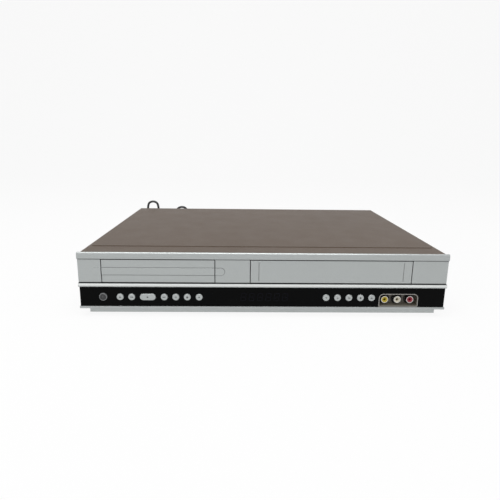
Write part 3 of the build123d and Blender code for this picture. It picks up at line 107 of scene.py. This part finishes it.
class Finish:
    """One material, or the room's light: node() adds any node to it, and paint() closes a material on a
    Principled shader."""

    def __init__(self, name, room=None):
        self.material = room or bpy.data.materials.new(name)
        self.material.use_nodes = True
        self.tree = self.material.node_tree
        self.tree.nodes.clear()

    def node(self, kind, settings, sockets, output=0):
        made = self.tree.nodes.new(kind)
        for key, value in settings.items():
            setattr(made, key, value)
        for key, value in sockets.items():
            if isinstance(value, Socket):
                self.tree.links.new(value.link, made.inputs[key])
            else:
                made.inputs[key].default_value = value
        return Socket(self, made.outputs[output]) if len(made.outputs) else None

    def place(self, *stretch):
        """Object coordinates in metres, stretched along the axes."""
        here = self.node("ShaderNodeTexCoord", {}, {}, "Object")
        return self.node("ShaderNodeMapping", {}, {"Vector": here, "Scale": stretch or (1.0, 1.0, 1.0)})

    def axes(self):
        """Object coordinates as three sockets."""
        parts = self.node("ShaderNodeSeparateXYZ", {}, {"Vector": self.place()}).link.node
        return [Socket(self, parts.outputs[k]) for k in range(3)]

    def noise(self, scale, detail=2.0, stretch=(1.0, 1.0, 1.0)):
        """Noise with so many cells to a metre, stretched along the axes."""
        sockets = {"Vector": self.place(*stretch), "Scale": scale, "Detail": detail}
        return self.node("ShaderNodeTexNoise", {}, sockets)

    def mix(self, factor, first, second):
        """Two colours by a factor."""
        pair = [colour if isinstance(colour, Socket) else (*colour, 1.0) for colour in (first, second)]
        return self.node("ShaderNodeMix", {"data_type": "RGBA"}, {0: factor, 6: pair[0], 7: pair[1]}, 2)

    def between(self, value, low, high):
        """1 where a value lies between two limits."""
        return (value > low) * (value < high)

    def backdrop_rays(self):
        """1 for the rays by which the camera, gloss and clear pieces see the background."""
        path = self.node("ShaderNodeLightPath", {}, {}).link.node
        camera_ray, glossy_ray, clear_ray = (Socket(self, path.outputs[f"Is {kind} Ray"])
                                             for kind in ("Camera", "Glossy", "Transmission"))
        return camera_ray | glossy_ray | clear_ray

    def paint(self, colour, relief=None, depth=0.0, edge=0.0, **sockets):
        """Principled shader; relief and its depth in metres make a bump, edge softens sharp corners."""
        if edge:
            sockets["Normal"] = self.node("ShaderNodeBevel", {"samples": 4}, {"Radius": edge})
        if relief is not None:
            bump = {"Height": relief, "Distance": depth}
            if edge:
                bump["Normal"] = sockets["Normal"]
            sockets["Normal"] = self.node("ShaderNodeBump", {}, bump)
        sockets["Base_Color"] = colour if isinstance(colour, Socket) else (*colour, 1.0)
        values = {key.replace("_", " "): value for key, value in sockets.items()}
        shader = self.node("ShaderNodeBsdfPrincipled", {}, values)
        self.node("ShaderNodeOutputMaterial", {}, {"Surface": shader})
        return self.material


def link_piece(name, mesh, material, body):
    """A finished piece: its mesh holds its place, and it rides on a body of the frame."""
    piece = bpy.data.objects.new(name, mesh)
    bpy.context.scene.collection.objects.link(piece)
    mesh.materials.append(material)
    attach(piece, body)
    return piece


def white_paper():
    """Matt paper: what it reflects, and for the camera and for gloss a share of plain white over it."""
    paper = Finish("white_paper")
    fibre = paper.mix(paper.noise(60.0), (0.84, 0.84, 0.84), (0.87, 0.87, 0.87))
    matt = paper.node("ShaderNodeBsdfDiffuse", {}, {"Color": fibre})
    white = paper.node("ShaderNodeEmission", {}, {"Color": (1.0, 1.0, 1.0, 1.0), "Strength": 1.0})
    shader = paper.node("ShaderNodeMixShader", {}, {0: paper.backdrop_rays() * 0.9, 1: matt, 2: white})
    paper.node("ShaderNodeOutputMaterial", {}, {"Surface": shader})
    return paper.material


def swept_paper():
    """Profile in (y, z): flat, then a quarter circle of 1 m, then upright; carried 8 m along x."""
    angle = np.linspace(0, math.pi / 2, 17)
    y = np.concatenate([[-4.0, 0.6], 1.2 + np.sin(angle), [2.2]])
    z = np.concatenate([[0.0, 0.0], 1.0 - np.cos(angle), [4.0]])
    points = np.stack([np.repeat([-4.0, 4.0], len(y)), np.tile(y, 2), np.tile(z, 2)], axis=1)
    k = np.arange(len(y) - 1)
    mesh = bpy.data.meshes.new("stage_paper")
    mesh.from_pydata(points.tolist(), [], np.stack([k, k + len(y), k + len(y) + 1, k + 1], axis=1).tolist())
    mesh.polygons.foreach_set("use_smooth", [True] * len(k))
    mesh.materials.append(white_paper())
    return mesh


paper_sweep = bpy.data.objects.new("stage_paper", swept_paper())
bpy.context.scene.collection.objects.link(paper_sweep)

room = Finish("studio", bpy.data.worlds.new("studio"))
room_light = 0.40
room_level = room.backdrop_rays() * (1.0 - room_light) + room_light
room_white = room.node("ShaderNodeBackground", {}, {"Color": (1.0, 1.0, 1.0, 1.0), "Strength": room_level})
room.node("ShaderNodeOutputWorld", {}, {"Surface": room_white})
bpy.context.scene.world = room.material
bpy.context.scene.view_settings.view_transform = "Standard"
for name, place, width, depth, power in (
    ("light_above", Vector((-0.05, -0.35, 1.4)), 1.4, 0.9, 15.0),
    ("light_left", Vector((-1.3, -0.9, 0.8)), 0.7, 0.7, 4.5),
):
    light = bpy.data.lights.new(name, "AREA")
    light.shape, light.size, light.size_y, light.energy = "RECTANGLE", width, depth, power
    lamp = bpy.data.objects.new(name, light)
    lamp.matrix_world = Matrix.Translation(place) @ place.to_track_quat("Z", "Y").to_matrix().to_4x4()
    bpy.context.scene.collection.objects.link(lamp)


# ---- mains lead ----------------------------------------------------------------------------------------
# Thin two-core lead in black vinyl. It stands up in a tight bend behind the cover, goes down into a tied
# hank whose fourth turn was pulled up tall, and ends in a flat two-blade plug on the table.
def cord_vinyl():
    vinyl = Finish("cord_vinyl")
    colour = vinyl.mix(vinyl.noise(260.0), (0.010, 0.010, 0.011), (0.018, 0.018, 0.019))
    return vinyl.paint(colour, vinyl.noise(1400.0), 0.00004, Roughness=vinyl.noise(900.0) * 0.12 + 0.40)


hank_x, hank_half = -0.1957, 0.0104
hank_y = [0.172 - 0.0046 * k for k in range(9)]
hank_right, hank_left = hank_x + hank_half, hank_x - hank_half
lead_points = [
    (-0.128, 0.1487, 0.040),
    (-0.128, 0.158, 0.040),
    (-0.1286, 0.168, 0.0445),
    (-0.1308, 0.173, 0.0555),
    (-0.1368, 0.1725, 0.0726),
    (-0.1516, 0.1715, 0.0726),
    (-0.1585, 0.171, 0.0585),
    (-0.167, 0.1716, 0.0505),
    (-0.1782, 0.1722, 0.046),
    (hank_right, 0.172, 0.035),
    (hank_right, 0.172, 0.022),
]
tail_points = [
    (hank_right, hank_y[-1], 0.0196),
    (-0.1812, hank_y[-1] + 0.0004, 0.0094),
    (-0.172, hank_y[-1] + 0.003, 0.005),
    (-0.159, hank_y[-1] + 0.008, 0.0063),
    (-0.145, hank_y[-1] + 0.008, 0.0063),
]


def hank_turn(turn):
    """One turn's points: round the foot, up the left leg a step further forward, and over the top."""
    y0, y1 = hank_y[turn - 1], hank_y[turn]
    top = 0.0862 if turn == 4 else 0.0663 + 0.0016 * math.sin(2.4 * turn)
    low, high = 0.0021 + hank_half, top - hank_half
    reach = hank_half / math.cos(math.radians(22.5))
    angles = np.radians([-22.5, -67.5, -112.5, -157.5])
    foot = [(hank_x + reach * math.cos(a), y0, low + reach * math.sin(a)) for a in angles]
    over = [(hank_x - reach * math.cos(a), y1, high - reach * math.sin(a)) for a in angles]
    left = [(hank_left, y0, low + 0.010), (hank_left, y1, 0.0433)]
    right = [(hank_right, y1, 0.042), (hank_right, y1, 0.024)]
    return foot + left + over + right


def make_mains_cord():
    turns = [point for turn in range(1, 9) for point in hank_turn(turn)]
    route = lead_points + turns[:-1] + tail_points
    curve = bpy.data.curves.new("mains_cord", "CURVE")
    curve.dimensions = "3D"
    curve.resolution_u = 6
    curve.bevel_depth = 0.002
    curve.bevel_resolution = 5
    curve.use_fill_caps = True
    spline = curve.splines.new("NURBS")
    spline.points.add(len(route) - 1)
    spline.points.foreach_set("co", np.array([(*point, 1.0) for point in route]).ravel())
    spline.order_u = 3
    spline.use_endpoint_u = True
    return link_piece("mains_cord", curve, cord_vinyl(), "case")


def revolved(name, along, radius, centre, sides=48):
    """A closed shape turned about a line parallel to y: a ring of each radius at each y. Its ends are drawn
    to a point."""
    along = np.concatenate([along[:1], along, along[-1:]])
    radius = np.concatenate([[0.0], radius, [0.0]])
    angle = np.linspace(0, 2 * math.pi, sides, endpoint=False)
    x = centre[0] + radius[:, None] * np.cos(angle)
    z = centre[1] + radius[:, None] * np.sin(angle)
    points = np.stack([x, np.broadcast_to(along[:, None], x.shape), z], axis=2).reshape(-1, 3)
    row, side = np.meshgrid(np.arange(len(along) - 1), np.arange(sides), indexing="ij")
    here, beside = row * sides + side, row * sides + (side + 1) % sides
    faces = np.stack([here, here + sides, beside + sides, beside], axis=2).reshape(-1, 4)
    mesh = bpy.data.meshes.new(name)
    mesh.from_pydata(points.tolist(), [], faces.tolist())
    return close_mesh(mesh)


def close_mesh(mesh):
    """Merges the points that fall together at poles and seams, turns the faces outwards and smooths them."""
    work = bmesh.new()
    work.from_mesh(mesh)
    bmesh.ops.remove_doubles(work, verts=work.verts, dist=1e-7)
    bmesh.ops.recalc_face_normals(work, faces=work.faces)
    work.to_mesh(mesh)
    work.free()
    mesh.polygons.foreach_set("use_smooth", [True] * len(mesh.polygons))
    return mesh


def make_strain_relief():
    """Collar, then a sleeve whose radius falls evenly to the lead, cut by grooves at an even pitch."""
    collar_y = np.array([0.1242, 0.1287, 0.1287, 0.1290, 0.1304, 0.1307, 0.1307])
    collar_r = np.array([0.0050, 0.0050, 0.0071, 0.0075, 0.0075, 0.0071, 0.0054])
    sleeve_y = np.linspace(0.1310, 0.1484, 88)
    wave = 0.5 + 0.5 * np.cos((sleeve_y - 0.1310) / 0.0029 * 2 * math.pi)
    sleeve_r = np.interp(sleeve_y, [0.1310, 0.1484], [0.0052, 0.0030]) - 0.0006 * (1 - wave**0.5)
    along = np.concatenate([collar_y, sleeve_y, [0.1487]])
    radius = np.concatenate([collar_r, sleeve_r, [0.0026]])
    mesh = revolved("strain_relief", along, radius, (-0.128, 0.040))
    rubber = Finish("relief_rubber")
    colour = rubber.mix(rubber.noise(300.0), (0.012, 0.012, 0.012), (0.022, 0.022, 0.023))
    material = rubber.paint(colour, rubber.noise(2600.0), 0.00003, Roughness=rubber.noise(500.0) * 0.15 + 0.5)
    return link_piece("strain_relief", mesh, material, "case")


mains_cord = make_mains_cord()
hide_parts("cord_lead", "cord_hank", "cord_tail")
strain_relief = make_strain_relief()
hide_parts("cord_gland")


# ---- moulded plastic pieces ----------------------------------------------------------------------------
# Injection-moulded parts in plain colours: each has a fine spark-eroded grain, a slight drift of colour
# from the flow of the melt, and gloss that differs a little from place to place.
def dress(material, *names):
    """These CAD nodes keep their meshes and take this material."""
    for name in names:
        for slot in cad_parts[name].material_slots:
            slot.material = material


def moulded(name, colour, gloss, grain=1800.0, depth=0.00002):
    """The colour drifts by a tenth to either side, under a grain of its own fineness and depth."""
    plastic = Finish(name)
    light = tuple(min(1.0, part * 1.12 + 0.002) for part in colour)
    dark = tuple(part * 0.88 for part in colour)
    drift = plastic.mix(plastic.noise(45.0, 4.0), dark, light)
    return plastic.paint(drift, plastic.noise(grain), depth, Roughness=plastic.noise(320.0) * 0.12 + gloss)


dress(moulded("plug_vinyl", (0.018, 0.018, 0.018), 0.42), "mains_plug")
dress(moulded("tie_vinyl", (0.02, 0.02, 0.021), 0.55, 900.0, 0.00008), "hank_tie")
dress(moulded("foot_rubber", (0.025, 0.025, 0.025), 0.65, 700.0, 0.00006), "rubber_feet")
dress(moulded("socket_black", (0.025, 0.025, 0.026), 0.42), "black_sockets")
dress(moulded("tray_black", (0.045, 0.045, 0.048), 0.48, 2600.0), "disc_tray")
dress(moulded("loader_black", (0.030, 0.030, 0.031), 0.5), "loader_frame", "traverse_frame")
dress(moulded("clamp_black", (0.035, 0.035, 0.036), 0.4), "disc_clamp", "turntable", "optical_pickup")
gear_acetal = moulded("gear_acetal", (0.70, 0.70, 0.66), 0.38)
dress(gear_acetal, "tray_gear", "motor_pinion", "supply_reel", "takeup_reel")
dress(moulded("roller_rubber", (0.02, 0.02, 0.02), 0.6, 1500.0, 0.00003), "pinch_roller")
dress(moulded("display_body", (0.02, 0.02, 0.021), 0.3), "display_module")


# ---- bezel, flap and tray front ------------------------------------------------------------------------
# The front is moulded in one and lacquered silver, as are the cassette flap and the front of the tray.
# The lacquer has fine metal flakes and catches the light on every rounded edge. Painted shade darkens the
#  gaps, creases and door edges, and a painted highlight brightens the ridge.
face_y = -0.135
ridge_low, ridge_high = 0.0384, 0.0410
creases = ((0.0417, 0.0008), (0.0703, 0.0005))
band_z, band_half, band_end_x = 0.05575, 0.0045, -0.0506
flap_ends, tray_ends, door_levels = (-0.01635, 0.17265), (-0.18785, -0.05775), (0.04215, 0.06995)
groove_middle, groove_reach = 0.07815, 0.0847
gap_shade_reach, rim, upper_rim = 0.0007, 0.0003, 0.0005
lacquer_metal = 0.72


def silver_lacquer(name, painted_shade=None):
    """Flakes turn a grey a little, broad clouds change its gloss, the ridge that stands before the face gets
    a painted highlight, and painted shade makes the gaps and creases near-black."""
    lacquer = Finish(name)
    x, y, z = lacquer.axes()
    # painted highlight: the ridge's rounded front is painted pale
    ridge_highlight = (y < face_y - 0.0002) * lacquer.between(z, ridge_low, ridge_high)
    colour = lacquer.mix(lacquer.noise(5200.0, 1.0), (0.375, 0.397, 0.395), (0.47, 0.492, 0.487))
    colour = lacquer.mix(ridge_highlight * 0.75, colour, (0.80, 0.82, 0.81))
    metal, gloss = lacquer_metal, lacquer.noise(14.0, 3.0) * 0.08 + 0.30
    if painted_shade is not None:
        # painted shade: gaps and creases are painted near-black and lose their metal
        gap_shade = painted_shade(lacquer)
        colour = lacquer.mix(gap_shade, colour, (0.012, 0.012, 0.013))
        metal = (1 - gap_shade) * lacquer_metal
    pores = lacquer.noise(900.0)
    return lacquer.paint(colour, pores, 0.000008, edge=0.00035, Metallic=metal, Roughness=gloss)


def bezel_gap_shade(lacquer):
    """Painted shade: the creases above and below the doors, all that lies behind the face inside the bezel's
    ends, the edges of the two openings, and, at half strength, the line round the end of the band."""
    x, y, z = lacquer.axes()
    # painted shade: near-black behind the face, in the creases, along the opening edges and round the band's
    # end
    inside = (y > face_y + 0.0006) * (abs(x) < 0.2125) * lacquer.between(z, 0.0132, 0.0708)
    for level, half_width in creases:
        inside = inside | (y > face_y - 0.0013) * (abs(z - level) < half_width) * (y < face_y + 0.003)
    height = lacquer.between(z, door_levels[0] - gap_shade_reach, door_levels[1] + gap_shade_reach)
    for left, right in (flap_ends, tray_ends):
        inside = inside | height * lacquer.between(x, left - gap_shade_reach, right + gap_shade_reach)
    past_end = (x - band_end_x) | 0.0
    from_end = (past_end**2 + abs(z - band_z) ** 2) ** 0.5
    line = lacquer.between(from_end, band_half - rim, band_half + rim) * lacquer.between(x, -0.060, -0.044)
    return inside | line * 0.5


def door_edge_shade(lacquer, x, z, ends):
    """Painted shade on the outermost part of a door, where it turns into the gap, a little wider along its
    top.
    """
    within = lacquer.between(x, ends[0] + rim, ends[1] - rim)
    return 1 - within * lacquer.between(z, door_levels[0] + rim, door_levels[1] - upper_rim)


def flap_groove_shade(lacquer):
    """Painted shade on the flap's rim and in the two upright grooves near its ends."""
    x, y, z = lacquer.axes()
    upright = abs(abs(x - groove_middle) - groove_reach) < 0.0004
    groove_shade = upright * lacquer.between(y, face_y + 0.0001, face_y + 0.0006)
    return groove_shade * 0.45 | door_edge_shade(lacquer, x, z, flap_ends)


def band_edge_shade(lacquer):
    """Painted shade on the tray front's rim and along the lines where the raised band meets it."""
    x, y, z = lacquer.axes()
    edge_shade_lines = (abs(abs(z - band_z) - band_half) < 0.0004) * (y < face_y + 0.0006)
    return edge_shade_lines * 0.55 | door_edge_shade(lacquer, x, z, tray_ends)


dress(silver_lacquer("bezel_silver", bezel_gap_shade), "front_bezel")
dress(silver_lacquer("flap_silver", flap_groove_shade), "tape_door")
dress(silver_lacquer("tray_front_silver", band_edge_shade), "tray_front")


# ---- control strip -------------------------------------------------------------------------------------
# One piece of smoked black acrylic, polished, with the dim segments of an unlit display behind its middle.
def smoked_acrylic():
    """Figures of seven segments at an even pitch, each a little slanted: two pairs of uprights and three
    levels, drawn by their distance from the middle of the figure."""
    acrylic = Finish("smoked_acrylic")
    x, y, z = acrylic.axes()
    first_figure, last_figure, pitch, middle = -0.0285, 0.0303, 0.0098, 0.0042
    along = (x - first_figure) % pitch - middle
    up = z - 0.0247
    slanted = along - up * 0.12
    cell = acrylic.between(x, first_figure, last_figure) * (abs(up) < 0.0052) * (y < face_y)
    uprights = acrylic.between(abs(slanted), 0.0024, 0.0032) * (abs(abs(up) - 0.0024) < 0.0019)
    levels = (abs(slanted) < 0.0021) * ((abs(up) < 0.0004) | acrylic.between(abs(up), 0.0042, 0.0050))
    dim = acrylic.mix(cell * (uprights | levels), (0.0012, 0.0013, 0.0014), (0.004, 0.0044, 0.0075))
    smears = acrylic.noise(30.0, 3.0, (1.0, 1.0, 3.0))
    return acrylic.paint(dim, acrylic.noise(500.0), 0.000004, edge=0.0002, Roughness=smears * 0.10 + 0.08,
                         Specular_IOR_Level=0.05)


dress(smoked_acrylic(), "control_strip")


# ---- push buttons --------------------------------------------------------------------------------------
# Domed caps lacquered silver, each with a small printed sign for what it does; the standby cap is smoked
# grey. A sign rides on its cap.
button_x = {
    "tray_button": -0.1677,
    "skip_back_button": -0.1544,
    "play_button": -0.1357,
    "skip_forward_button": -0.1166,
    "pause_button": -0.1032,
    "stop_button": -0.0898,
    "source_button": -0.0760,
    "channel_down_button": 0.0731,
    "channel_up_button": 0.0866,
    "rewind_button": 0.1001,
    "record_button": 0.1137,
    "eject_button": 0.1270,
    "standby_button": -0.1873,
}
button_z = 0.0247
cap_y = -0.1367
sign_unit = 0.001
right_arrow = [(-0.7, -0.9), (0.8, 0.0), (-0.7, 0.9)]
left_arrow = [(0.7, -0.9), (0.7, 0.9), (-0.8, 0.0)]
up_arrow = [(-1.1, -0.3), (1.1, -0.3), (0.0, 1.1)]
down_arrow = [(-1.0, 0.7), (0.0, -0.8), (1.0, 0.7)]


def bar(x0, x1, z0, z1):
    """An upright or level rectangle."""
    return [(x0, z0), (x1, z0), (x1, z1), (x0, z1)]


def disc(radius, count=24):
    """A circle as a many-sided outline."""
    turn = np.arange(count) * 2 * math.pi / count
    return list(zip(radius * np.cos(turn), radius * np.sin(turn)))


def moved(outline, step):
    """The outline a step to the right."""
    return [(x + step, z) for x, z in outline]


signs = {
    "tray_button": [up_arrow, bar(-1.1, 1.1, -1.1, -0.6)],
    "skip_back_button": [moved(left_arrow, -0.46), moved(left_arrow, 1.08), bar(-1.65, -1.35, -0.9, 0.9)],
    "play_button": [[(-1.0, -1.2), (1.2, 0.0), (-1.0, 1.2)]],
    "skip_forward_button": [
        moved(right_arrow, -1.08),
        moved(right_arrow, 0.46),
        bar(1.35, 1.65, -0.9, 0.9),
    ],
    "pause_button": [bar(-0.9, -0.3, -1.0, 1.0), bar(0.3, 0.9, -1.0, 1.0)],
    "stop_button": [bar(-1.0, 1.0, -1.0, 1.0)],
    "source_button": [disc(0.8)],
    "channel_down_button": [down_arrow],
    "channel_up_button": [[(x, -z) for x, z in reversed(down_arrow)]],
    "rewind_button": [moved(left_arrow, -0.7), moved(left_arrow, 0.8)],
    "record_button": [disc(1.0)],
    "eject_button": [up_arrow, bar(-1.1, 1.1, -1.1, -0.6)],
    "standby_button": [bar(-0.18, 0.18, 0.3, 1.6)],
}


def printed_sign(name, outlines, x):
    """Each outline in (x, z) becomes a prism that stands a little proud of the cap and is sunk into it: its
    front, its back and its edge."""
    proud, sunk = 0.00003, 0.0001
    points, faces, first = [], [], 0
    for outline in outlines:
        flat = np.array(outline) * sign_unit
        count = len(flat)
        for y in (cap_y - proud, cap_y + sunk):
            points.append(np.stack([x + flat[:, 0], np.full(count, y), button_z + flat[:, 1]], axis=1))
        k = np.arange(count)
        after = (k + 1) % count
        sides = np.stack([first + after, first + k, first + count + k, first + count + after], axis=1)
        faces += [(first + k).tolist(), (first + count + k[::-1]).tolist(), *sides.tolist()]
        first += 2 * count
    mesh = bpy.data.meshes.new(name)
    mesh.from_pydata(np.concatenate(points).tolist(), [], faces)
    return mesh


sign_ink = moulded("sign_ink", (0.03, 0.03, 0.032), 0.45, 4000.0, 0.000004)
pale_ink = moulded("pale_ink", (0.30, 0.31, 0.31), 0.45, 4000.0, 0.000004)
for button, outlines in signs.items():
    ink = pale_ink if button == "standby_button" else sign_ink
    sign = printed_sign(button.replace("button", "sign"), outlines, button_x[button])
    link_piece(sign.name, sign, ink, button)
dress(silver_lacquer("cap_silver"), *(name for name in button_x if name != "standby_button"))


def smoked_cap():
    """Dark grey all over, with a painted highlight: a paler ring towards the rim of the cap."""
    cap = Finish("smoked_cap")
    x, y, z = cap.axes()
    radius = ((x - button_x["standby_button"]) ** 2 + (z - button_z) ** 2) ** 0.5
    # painted highlight: a paler ring round the rim of the cap
    rim = cap.between(radius, 0.0036, 0.0060)
    colour = cap.mix(rim, (0.035, 0.036, 0.038), (0.16, 0.165, 0.17))
    gloss = cap.noise(200.0) * 0.1 + 0.22
    return cap.paint(colour, cap.noise(1500.0), 0.00001, Roughness=gloss, Metallic=0.3)


dress(smoked_cap(), "standby_button")


# ---- front sockets -------------------------------------------------------------------------------------
# A taupe cup moulded behind the strip, hollowed round each socket, with a paler rim. The sockets are
# plated shells round coloured rings: yellow, white and red.
def taupe_cup():
    """The rim paler, painted light making the floor a little paler, and painted shade making the wells nearly
    black.
    """
    cup = Finish("taupe_cup")
    x, y, z = cup.axes()
    rim = y < -0.1349
    well_shade = y > -0.1290
    floor_light = (z < 0.0149) * (y > -0.1348) * (y < -0.129)
    colour = cup.mix(cup.noise(60.0, 3.0), (0.066, 0.057, 0.042), (0.088, 0.077, 0.058))
    # painted light on the floor, then painted shade in the wells
    colour = cup.mix(floor_light, colour, (0.17, 0.155, 0.125))
    colour = cup.mix(well_shade, colour, (0.020, 0.017, 0.014))
    colour = cup.mix(rim, colour, (0.28, 0.27, 0.25))
    gloss = cup.noise(300.0) * 0.1 + 0.38
    return cup.paint(colour, cup.noise(2200.0), 0.00002, edge=0.0002, Roughness=gloss)


def ring_colours():
    """Front rings from left to right, and behind, the upper row for picture and the lower row for sound."""
    ring = Finish("ring_colours")
    x, y, z = ring.axes()
    yellow, white, red = (0.62, 0.47, 0.02), (0.72, 0.68, 0.55), (0.32, 0.012, 0.03)
    green, blue = (0.03, 0.28, 0.06), (0.02, 0.06, 0.42)
    front = ring.mix(x > 0.1665, ring.mix(x > 0.1515, yellow, white), red)
    lower = ring.mix((x % 0.030) > 0.015, red, white)
    upper = ring.mix(x > 0.0495, ring.mix(x > 0.0345, ring.mix(x > 0.0195, yellow, green), blue), red)
    behind = ring.mix(z > 0.041, lower, upper)
    soil = ring.noise(400.0) * 0.25
    colour = ring.mix(soil, ring.mix(y > 0.0, front, behind), (0.05, 0.04, 0.03))
    return ring.paint(colour, ring.noise(2500.0), 0.00001, Roughness=ring.noise(250.0) * 0.1 + 0.28)


def bright_plating(name, relief=None, depth=0.00001):
    """Nickel with faint stains; the relief is a fine noise unless another is given."""
    plating = Finish(name)
    colour = plating.mix(plating.noise(90.0, 3.0), (0.60, 0.59, 0.56), (0.74, 0.73, 0.70))
    height = relief(plating) if relief else plating.noise(1600.0)
    gloss = plating.noise(240.0) * 0.15 + 0.16
    return plating.paint(colour, height, depth, Metallic=1.0, Roughness=gloss)


def barrel_thread(plating):
    """A thread on the aerial connectors: a wave along y whose phase follows the turn about the barrel."""
    x, y, z = plating.axes()
    middle = (z > 0.038) * 0.020 + 0.028
    turn = plating.node("ShaderNodeMath", {"operation": "ARCTAN2"}, {0: z - middle, 1: x - 0.193})
    wave = plating.node("ShaderNodeMath", {"operation": "SINE"}, {0: y * (2 * math.pi / 0.0008) + turn})
    return wave * (y > 0.1303) + plating.noise(1200.0) * 0.1


dress(taupe_cup(), "av_pocket")
dress(ring_colours(), "jack_rings")
dress(bright_plating("shell_nickel"), "jack_shells")
dress(bright_plating("aerial_nickel", barrel_thread, 0.00012), "rf_connectors")


# ---- cover ---------------------------------------------------------------------------------------------
# Sheet steel with a shallow raised field, powder-coated in a matt taupe: the powder leaves a fine leathery
# grain with a few pale grains in it.
def powder_coat():
    """Broad drifts of colour, and where the grain is highest a paler grain."""
    coat = Finish("powder_coat")
    drift = coat.noise(5.0, 4.0)
    grain = coat.noise(1700.0, 3.0)
    colour = coat.mix(drift, (0.088, 0.064, 0.047), (0.108, 0.079, 0.059))
    colour = coat.mix((grain > 0.66) * 0.35, colour, (0.28, 0.24, 0.20))
    return coat.paint(colour, grain, 0.00004, edge=0.0004, Roughness=coat.noise(40.0, 3.0) * 0.12 + 0.40,
                      Metallic=0.15, Specular_IOR_Level=0.2)


dress(powder_coat(), "top_cover")


# ---- screws --------------------------------------------------------------------------------------------
# Pan-head screws in dark zinc, four in the cover's sides and three in its rear lip, with a cross recess.
screw_radius, side_height, rear_height = 0.0035, 0.0009, 0.0017


def screw_head(centre, outward, across, screw_height):
    """A grid over a square drawn onto a disc. Its height falls from the middle to the rim by a sixth power
    of the radius, less a cross-shaped recess that gets shallower outwards."""
    cells, foot = 32, 0.0004
    rows = cells + 1
    line = np.linspace(-1, 1, rows)
    u, v = np.meshgrid(line, line, indexing="ij")
    a, b = u * np.sqrt(1 - v**2 / 2), v * np.sqrt(1 - u**2 / 2)
    radius = np.hypot(a, b)
    dome = np.sqrt(np.clip(1 - radius**6, 0, 1)) * (1 - 0.18 * radius**2)
    arm = (np.minimum(abs(a), abs(b)) < 0.13) & (radius < 0.62)
    height = screw_height * (dome - arm * 0.55 * (1 - radius))
    side = np.cross(outward, across)
    flat = np.array(centre) + screw_radius * (a[..., None] * across + b[..., None] * side)
    top, base = flat + height[..., None] * outward, flat - foot * outward
    points = np.concatenate([top.reshape(-1, 3), base.reshape(-1, 3)])
    step = np.arange(cells)
    here = (step[:, None] * rows + step).ravel()
    front = np.stack([here, here + rows, here + rows + 1, here + 1], axis=1)
    back = front[:, ::-1] + rows**2
    edge = np.concatenate([step, cells + rows * step, rows**2 - 1 - step, rows * cells - rows * step])
    after = np.roll(edge, -1)
    wall = np.stack([edge, after, after + rows**2, edge + rows**2], axis=1)
    return points, np.concatenate([front, back, wall])


def make_screws():
    axis_x, axis_y, axis_z = np.eye(3)
    sides = [(side, y) for side in (-1, 1) for y in (-0.0705, 0.0895)]
    places = [((side * 0.2138, y, 0.0159), side * axis_x, axis_z, side_height) for side, y in sides]
    places += [((x, 0.1295, 0.0734), axis_y, axis_z, rear_height) for x in (-0.193, 0.0, 0.193)]
    points, faces, first = [], [], 0
    for place in places:
        more, turned = screw_head(*place)
        points.append(more)
        faces.append(turned + first)
        first += len(more)
    mesh = bpy.data.meshes.new("cross_screws")
    mesh.from_pydata(np.concatenate(points).tolist(), [], np.concatenate(faces).tolist())
    return close_mesh(mesh)


def dark_zinc():
    zinc = Finish("dark_zinc")
    colour = zinc.mix(zinc.noise(700.0, 3.0), (0.16, 0.155, 0.15), (0.28, 0.27, 0.26))
    gloss = zinc.noise(500.0) * 0.2 + 0.25
    return zinc.paint(colour, zinc.noise(3000.0), 0.00001, Metallic=1.0, Roughness=gloss)


screws = link_piece("cross_screws", make_screws(), dark_zinc(), "case")
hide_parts("case_screws")


# ---- steel pieces --------------------------------------------------------------------------------------
# Zinc-plated sheet for the pan, rear panel, deck and holder, with the fine lines of the rolling mill; turned
# steel and aluminium for the shafts, drums and motor, with the lines of the lathe.
def rolled_zinc():
    sheet = Finish("rolled_zinc")
    lines = sheet.noise(90.0, 3.0, (1.0, 24.0, 24.0))
    spangle = sheet.noise(120.0, 2.0)
    colour = sheet.mix(spangle, (0.42, 0.43, 0.43), (0.56, 0.57, 0.57))
    return sheet.paint(colour, lines, 0.00001, Metallic=0.9, Roughness=lines * 0.2 + 0.28)


def turned_metal(name, dark, light):
    metal = Finish(name)
    lines = metal.noise(160.0, 3.0, (1.0, 1.0, 30.0))
    colour = metal.mix(lines, dark, light)
    return metal.paint(colour, lines, 0.000008, Metallic=1.0, Roughness=lines * 0.18 + 0.18)


dress(rolled_zinc(), "base_pan", "support_posts", "rear_panel", "deck_plate", "clamp_bridge", "holder_slides",
      "cassette_holder", "pinch_arm")
dress(turned_metal("turned_steel", (0.44, 0.43, 0.41), (0.60, 0.59, 0.57)), "loader_motor", "capstan_rotor",
      "guide_base_supply", "guide_base_takeup")
dress(turned_metal("turned_aluminium", (0.66, 0.66, 0.67), (0.80, 0.80, 0.81)), "lower_drum", "upper_drum")


# ---- boards --------------------------------------------------------------------------------------------
# Laminate boards under green lacquer, with copper tracks showing through and black or metal parts on top.
def board_lacquer(name, top, axis, sense):
    """Green up to the board's own face, tracks as a stepped noise, and dark parts that stand on it. The
    face lies at top along the axis, counted in its sense."""
    board = Finish(name)
    outward = board.axes()[axis] * sense
    weave = board.noise(900.0, 1.0)
    tracks = board.between(board.noise(150.0, 0.0), 0.48, 0.53)
    green = board.mix(weave, (0.020, 0.105, 0.035), (0.030, 0.135, 0.045))
    green = board.mix(tracks * 0.6, green, (0.10, 0.26, 0.07))
    colour = board.mix(outward > top, green, (0.025, 0.025, 0.027))
    return board.paint(colour, tracks + weave * 0.2, 0.00002, Roughness=board.noise(300.0) * 0.1 + 0.32)


dress(board_lacquer("board_green", 0.0137, 2, 1.0), "main_board", "power_board")
dress(board_lacquer("upright_board_green", 0.1217, 1, -1.0), "front_board")
